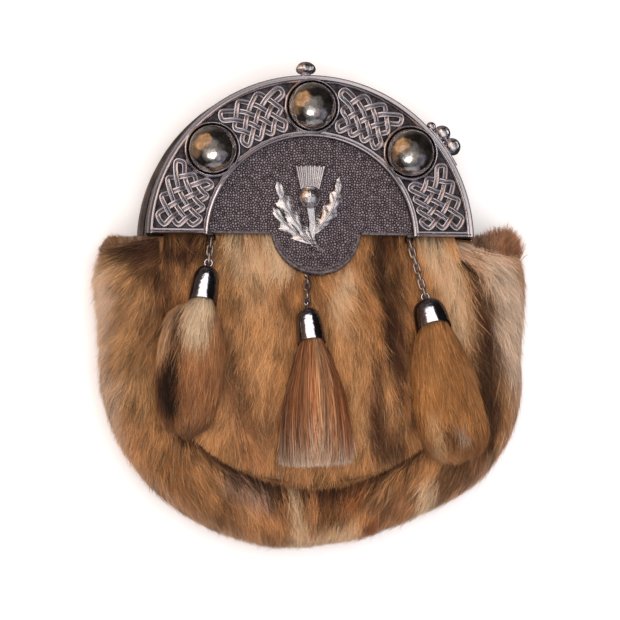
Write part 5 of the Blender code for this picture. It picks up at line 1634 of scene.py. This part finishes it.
badge = {
    "z": 29.3, "plate": 0.7, "crown": 1.4, "bulbX": -0.7, "bulbY": 17.0, "bulbZ": 1.5, "bulb": 5.0,
    "bulbRise": 3.4, "scale": 2.6, "scaleDepth": 0.16, "grid": 0.6, "rib": 0.45,
    # base, tip, half width, teeth down an edge, bow
    "leaves": (((0.2, -3.2), (-15.8, 24.0), 4.8, 4, 1.8), ((0.2, -3.8), (-17.6, 12.2), 4.2, 3, 1.4),
               ((0.4, 0.4), (12.6, 26.4), 4.2, 4, -3.2)),
    # along a tooth, reach from the midrib, lean ahead
    "tooth": ((0.1, 0.5, 0.0), (0.3, 0.62, 0.0), (0.5, 0.8, 0.02), (0.68, 0.96, 0.05), (0.78, 1.0, 0.09),
              (0.84, 0.8, 0.04)),
    "stem": ((-2.3, 14.0), (-0.9, 6.0), (-1.2, -1.0), (-0.4, -4.8), (1.6, -7.0), (5.2, -7.6), (5.8, -6.4),
             (3.2, -5.0), (1.8, -3.4), (1.5, -1.0), (1.7, 6.0), (1.0, 14.0)),
    "blades": 13, "fan": 2.1, "bladeLength": 10.6, "bladeGap": 0.66,
    "collar": (3.4, 3.9, 0.4, 2.2, 0.5),   # half width, y, rise of y, height, half thickness
}


def leafOutline(base, tip, halfWidth, teeth, bow):
    base, tip = Vector((*base, 0.0)), Vector((*tip, 0.0))
    along = tip - base
    side = Vector((-along.y, along.x, 0.0)).normalized()
    edges = {-1: [], 1: []}
    for edge in edges:
        for tooth in range(teeth):
            for share, reach, ahead in badge["tooth"]:
                place = (tooth + share) / teeth
                swell = math.sin(math.pi * (0.12 + 0.84 * place)) * halfWidth * reach
                bend = side * bow * math.sin(math.pi * place)
                forward = ahead * 2.0 * (1.0 - place)
                edges[edge].append(base + along * (place + forward) + bend + side * edge * swell)
    return [base] + edges[1] + [tip] + edges[-1][::-1]


def castPlate(outline, pitch, relief):
    # a plate of the outline's shape whose top follows relief(point), with upright sides
    bm = gridFill([Vector((point[0], point[1], badge["z"])) for point in outline], pitch)
    for face in bm.faces:
        face.normal_update()
    faceTowards(bm, 1)
    made = bmesh.ops.extrude_face_region(bm, geom=bm.faces[:])
    for item in made["geom"]:
        if isinstance(item, bmesh.types.BMVert):
            inner = all(not edge.is_boundary for edge in item.link_edges)
            item.co.z += badge["plate"] + relief(item.co, inner)
    for vert in bm.verts:
        vert.co.z += tongueRise(vert.co.y)
    faceOutwards(bm)
    return bm


def leafRelief(base, tip, halfWidth, teeth, bow):
    # a raised midrib that falls to the edges, with veins that slant towards the tip
    start, end = Vector(base), Vector(tip)
    along = end - start
    side = Vector((-along.y, along.x)).normalized()

    def relief(point, inner):
        offset = Vector((point.x, point.y)) - start
        share = max(0.0, min(1.0, offset.dot(along) / along.length_squared))
        aside = abs(offset.dot(side) - bow * math.sin(math.pi * share))
        vein = math.sin(2 * math.pi * (share * teeth - aside / halfWidth * 0.6))
        swell = badge["crown"] * math.cos(math.pi / 2 * min(1.0, aside / halfWidth))
        return swell + 0.3 * vein * min(1.0, aside)

    return relief


def makeBadge():
    body = bmesh.new()
    for leaf in badge["leaves"]:
        joinShapes(body, castPlate(leafOutline(*leaf), badge["grid"], leafRelief(*leaf)))
        joinShapes(body, makeRib(*leaf))
    joinShapes(body, castPlate(badge["stem"], badge["grid"], lambda point, inner: 1.1 if inner else 0.5))
    centre = Vector((badge["bulbX"], badge["bulbY"], badge["z"] + badge["bulbZ"]))
    bulb = bmesh.new()
    size = Matrix.Diagonal((badge["bulb"], badge["bulb"], badge["bulbRise"], 1.0))
    bmesh.ops.create_uvsphere(bulb, u_segments=40, v_segments=24, radius=1.0,
                              matrix=Matrix.Translation(centre) @ size)
    for vert in bulb.verts:
        offset = vert.co - centre
        across, along = offset.x + offset.y, offset.x - offset.y
        scales = math.cos(across * badge["scale"]) * math.cos(along * badge["scale"])
        vert.co += offset.normalized() * badge["scaleDepth"] * scales
    joinShapes(body, bulb)
    halfWidth, collarY, bow, height, thickness = badge["collar"]
    collar = []
    for step in range(13):
        turn = math.pi * step / 12
        sine = math.sin(turn)
        collar.append(centre + Vector((math.cos(turn) * halfWidth, collarY + bow * sine, sine * height)))
    joinShapes(body, sweepWire(collar, thickness, roundness=2))
    for blade in range(badge["blades"]):
        fromMiddle = blade - (badge["blades"] - 1) / 2
        spread = math.radians(badge["fan"] * fromMiddle)
        axis = Vector((math.sin(spread), math.cos(spread), 0.10 + 0.05 * (blade % 2))).normalized()
        turn = axis.to_track_quat("Z", "Y").to_matrix().to_4x4()
        foot = Vector((badge["bladeGap"] * fromMiddle, badge["bulb"] - 1.2, 0.2))
        place = Matrix.Translation(centre + foot + axis * badge["bladeLength"] / 2) @ turn
        spike = bmesh.new()
        bmesh.ops.create_cone(spike, cap_ends=True, segments=12, radius1=0.5, radius2=0.72,
                              depth=badge["bladeLength"] * (0.92 if blade % 2 else 1.0), matrix=place)
        joinShapes(body, spike)
    makePiece("thistle_badge_cast", body, [badgeChrome], ["thistle_badge"], 55.0)


def makeRib(base, tip, halfWidth, teeth, bow):
    # a leaf's midrib
    along = Vector((tip[0] - base[0], tip[1] - base[1], 0.0))
    side = Vector((-along.y, along.x, 0.0)).normalized()
    rib = []
    for step in range(13):
        place = 0.05 + 0.85 * step / 12
        point = Vector((*base, 0.0)) + along * place + side * bow * math.sin(math.pi * place)
        point.z = badge["z"] + badge["plate"] + badge["crown"] + tongueRise(point.y) - 0.1
        rib.append(point)
    return sweepWire(rib, badge["rib"], roundness=2)


# the camera: where the photo was taken from, its distance and how much it sees across
photo = {"target": (-0.7, -33.7, 31.0), "fromLeft": 8.0, "fromFoot": 3.0, "distance": 900.0, "field": 278.4}

# what the chrome mirrors: direction from the pouch, colour, strength, cosines where it starts and is full
glows = (
    ((-0.10, -0.34, 0.93), "fffaf5", 0.6, 0.915, 0.998),
    ((-0.06, -0.36, 0.93), "cfc6bd", 0.4, 0.78, 0.985),
    ((-0.58, 0.46, 0.62), "c9986a", 1.1, 0.76, 0.96),
    ((-0.95, 0.05, 0.25), "9a7a5c", 0.7, 0.75, 0.97),
    ((0.15, -0.95, 0.22), "d9dce6", 0.7, 0.85, 0.98),
    ((0.60, -0.45, 0.62), "b7b4c8", 0.35, 0.88, 0.98),
    ((0.0, 0.0, 1.0), "958e8c", 0.75, 0.62, 0.97),
    ((-0.4, 0.6, -0.7), "9c8f84", 0.6, 0.2, 0.95),
)

# lamps: where they stand from the pouch's middle, their size, watts, and the pieces they light (all if none)
lamps = {
    "overhead": {"place": (0, -20, 1100), "size": (1500, 1500), "watts": 16.5, "pieces": ()},
    "domeWindow": {"place": (-70, -238, 651), "size": (270, 220), "watts": 0.62, "pieces": ("dome_",)},
    "castGlow": {"place": (-330, 330, 960), "size": (760, 760), "watts": 1.7,
                 "pieces": ("frame_front", "thistle", "chain", "clasp", "knob")},
    "castFill": {"place": (330, -60, 800), "size": (700, 700), "watts": 0.5,
                 "pieces": ("thistle", "clasp", "knob")},
    "capWindow": {"place": (-120, 400, 480), "size": (760, 620), "watts": 9.0, "pieces": ("cap_",)},
    "leftWall": {"place": (-900, 300, 260), "size": (700, 260), "watts": 1.2,
                 "pieces": ("frame_", "knob", "clasp")},
    "rightWall": {"place": (900, 300, 260), "size": (700, 260), "watts": 1.2,
                  "pieces": ("frame_", "knob", "clasp")},
}
lampAim = (0.0, -20.0, 0.0)


def makeRoom():
    world = bpy.data.worlds.new("room")
    world.use_nodes = True
    place = addNode(world, "TexCoord").outputs["Generated"]
    total = addNode(world, "VectorMath", {"operation": "SCALE", 0: hexLinear("3a3533"), "Scale": 0.6})
    for direction, code, strength, start, full in glows:
        facing = addNode(world, "VectorMath",
                         {"operation": "DOT_PRODUCT", 1: Vector(direction).normalized()}, {0: place})
        share = addNode(world, "MapRange",
                        {"interpolation_type": "SMOOTHERSTEP", "From Min": start, "From Max": full,
                         "To Max": strength}, {"Value": facing.outputs["Value"]})
        glow = addNode(world, "VectorMath", {"operation": "SCALE", 0: hexLinear(code)},
                       {"Scale": share.outputs["Result"]})
        total = addNode(world, "VectorMath", {"operation": "ADD"},
                        {0: total.outputs["Vector"], 1: glow.outputs["Vector"]})
    clutter = addNode(world, "TexNoise", {"Scale": 5.0, "Detail": 3.0}, {"Vector": place})
    dapple = addNode(world, "MapRange",
                     {"From Min": 0.3, "From Max": 0.7, "To Min": 0.45, "To Max": 1.5},
                     {"Value": clutter.outputs["Fac"]})
    total = addNode(world, "VectorMath", {"operation": "SCALE"},
                    {0: total.outputs["Vector"], "Scale": dapple.outputs["Result"]})
    backdrop = world.node_tree.nodes["Background"]
    world.node_tree.links.new(total.outputs["Vector"], backdrop.inputs["Color"])
    bpy.context.scene.world = world


def hangLamps():
    for name, settings in lamps.items():
        lamp = bpy.data.lights.new(name, "AREA")
        lamp.shape = "RECTANGLE"
        lamp.size = settings["size"][0] * mm
        lamp.size_y = settings["size"][1] * mm
        lamp.energy = settings["watts"]
        light = bpy.data.objects.new(name, lamp)
        place = Vector(settings["place"])
        turn = (place - Vector(lampAim)).to_track_quat("Z", "Y").to_matrix().to_4x4()
        light.matrix_world = Matrix.Translation(toFrame @ place) @ turn
        light.visible_camera = False
        bpy.context.scene.collection.objects.link(light)
        if settings["pieces"]:
            lit = bpy.data.collections.new(name)
            for piece in bpy.context.scene.objects:
                if piece.name.startswith(settings["pieces"]):
                    lit.objects.link(piece)
            light.light_linking.receiver_collection = lit
        else:
            light.visible_glossy = False


def makeStage():
    floor = bmesh.new()
    bmesh.ops.create_grid(floor, x_segments=1, y_segments=1, size=3.0)
    mesh = bpy.data.meshes.new("paper")
    floor.to_mesh(mesh)
    floor.free()
    mesh.materials.append(paper)
    sheet = bpy.data.objects.new("paper", mesh)
    bpy.context.scene.collection.objects.link(sheet)
    sheet.visible_glossy = False

    makeRoom()
    bpy.context.scene.view_settings.view_transform = "Standard"

    lens = bpy.data.cameras.new("camera")
    lens.sensor_width = 36.0
    lens.lens = 36.0 * photo["distance"] / photo["field"]
    camera = bpy.data.objects.new("camera", lens)
    bpy.context.scene.collection.objects.link(camera)
    left, foot = math.radians(photo["fromLeft"]), math.radians(photo["fromFoot"])
    away = Vector((-math.sin(left), -math.sin(foot), math.cos(left) * math.cos(foot))).normalized()
    camera.location = toFrame @ (Vector(photo["target"]) + away * photo["distance"])
    right = Vector((0.0, 1.0, 0.0)).cross(away).normalized()
    camera.rotation_mode = "QUATERNION"
    camera.rotation_quaternion = Matrix((right, away.cross(right), away)).transposed().to_quaternion()
    bpy.context.scene.camera = camera


print("stage")
makeStage()
print("purse frame")
makeCasting()
makeDomes()
makeBackFrame()
makeTopKnob()
makeSideClasp()
print("leather")
makeLeatherField()
makeBackLeather()
makeStrapLoops()
print("fur")
makePelts()
growFrontFur()
growBandFur()
growShoulders()
print("tassels")
makeChains()
makeCaps()
growTassels()
print("badge")
makeBadge()
print("lamps")
hangLamps()
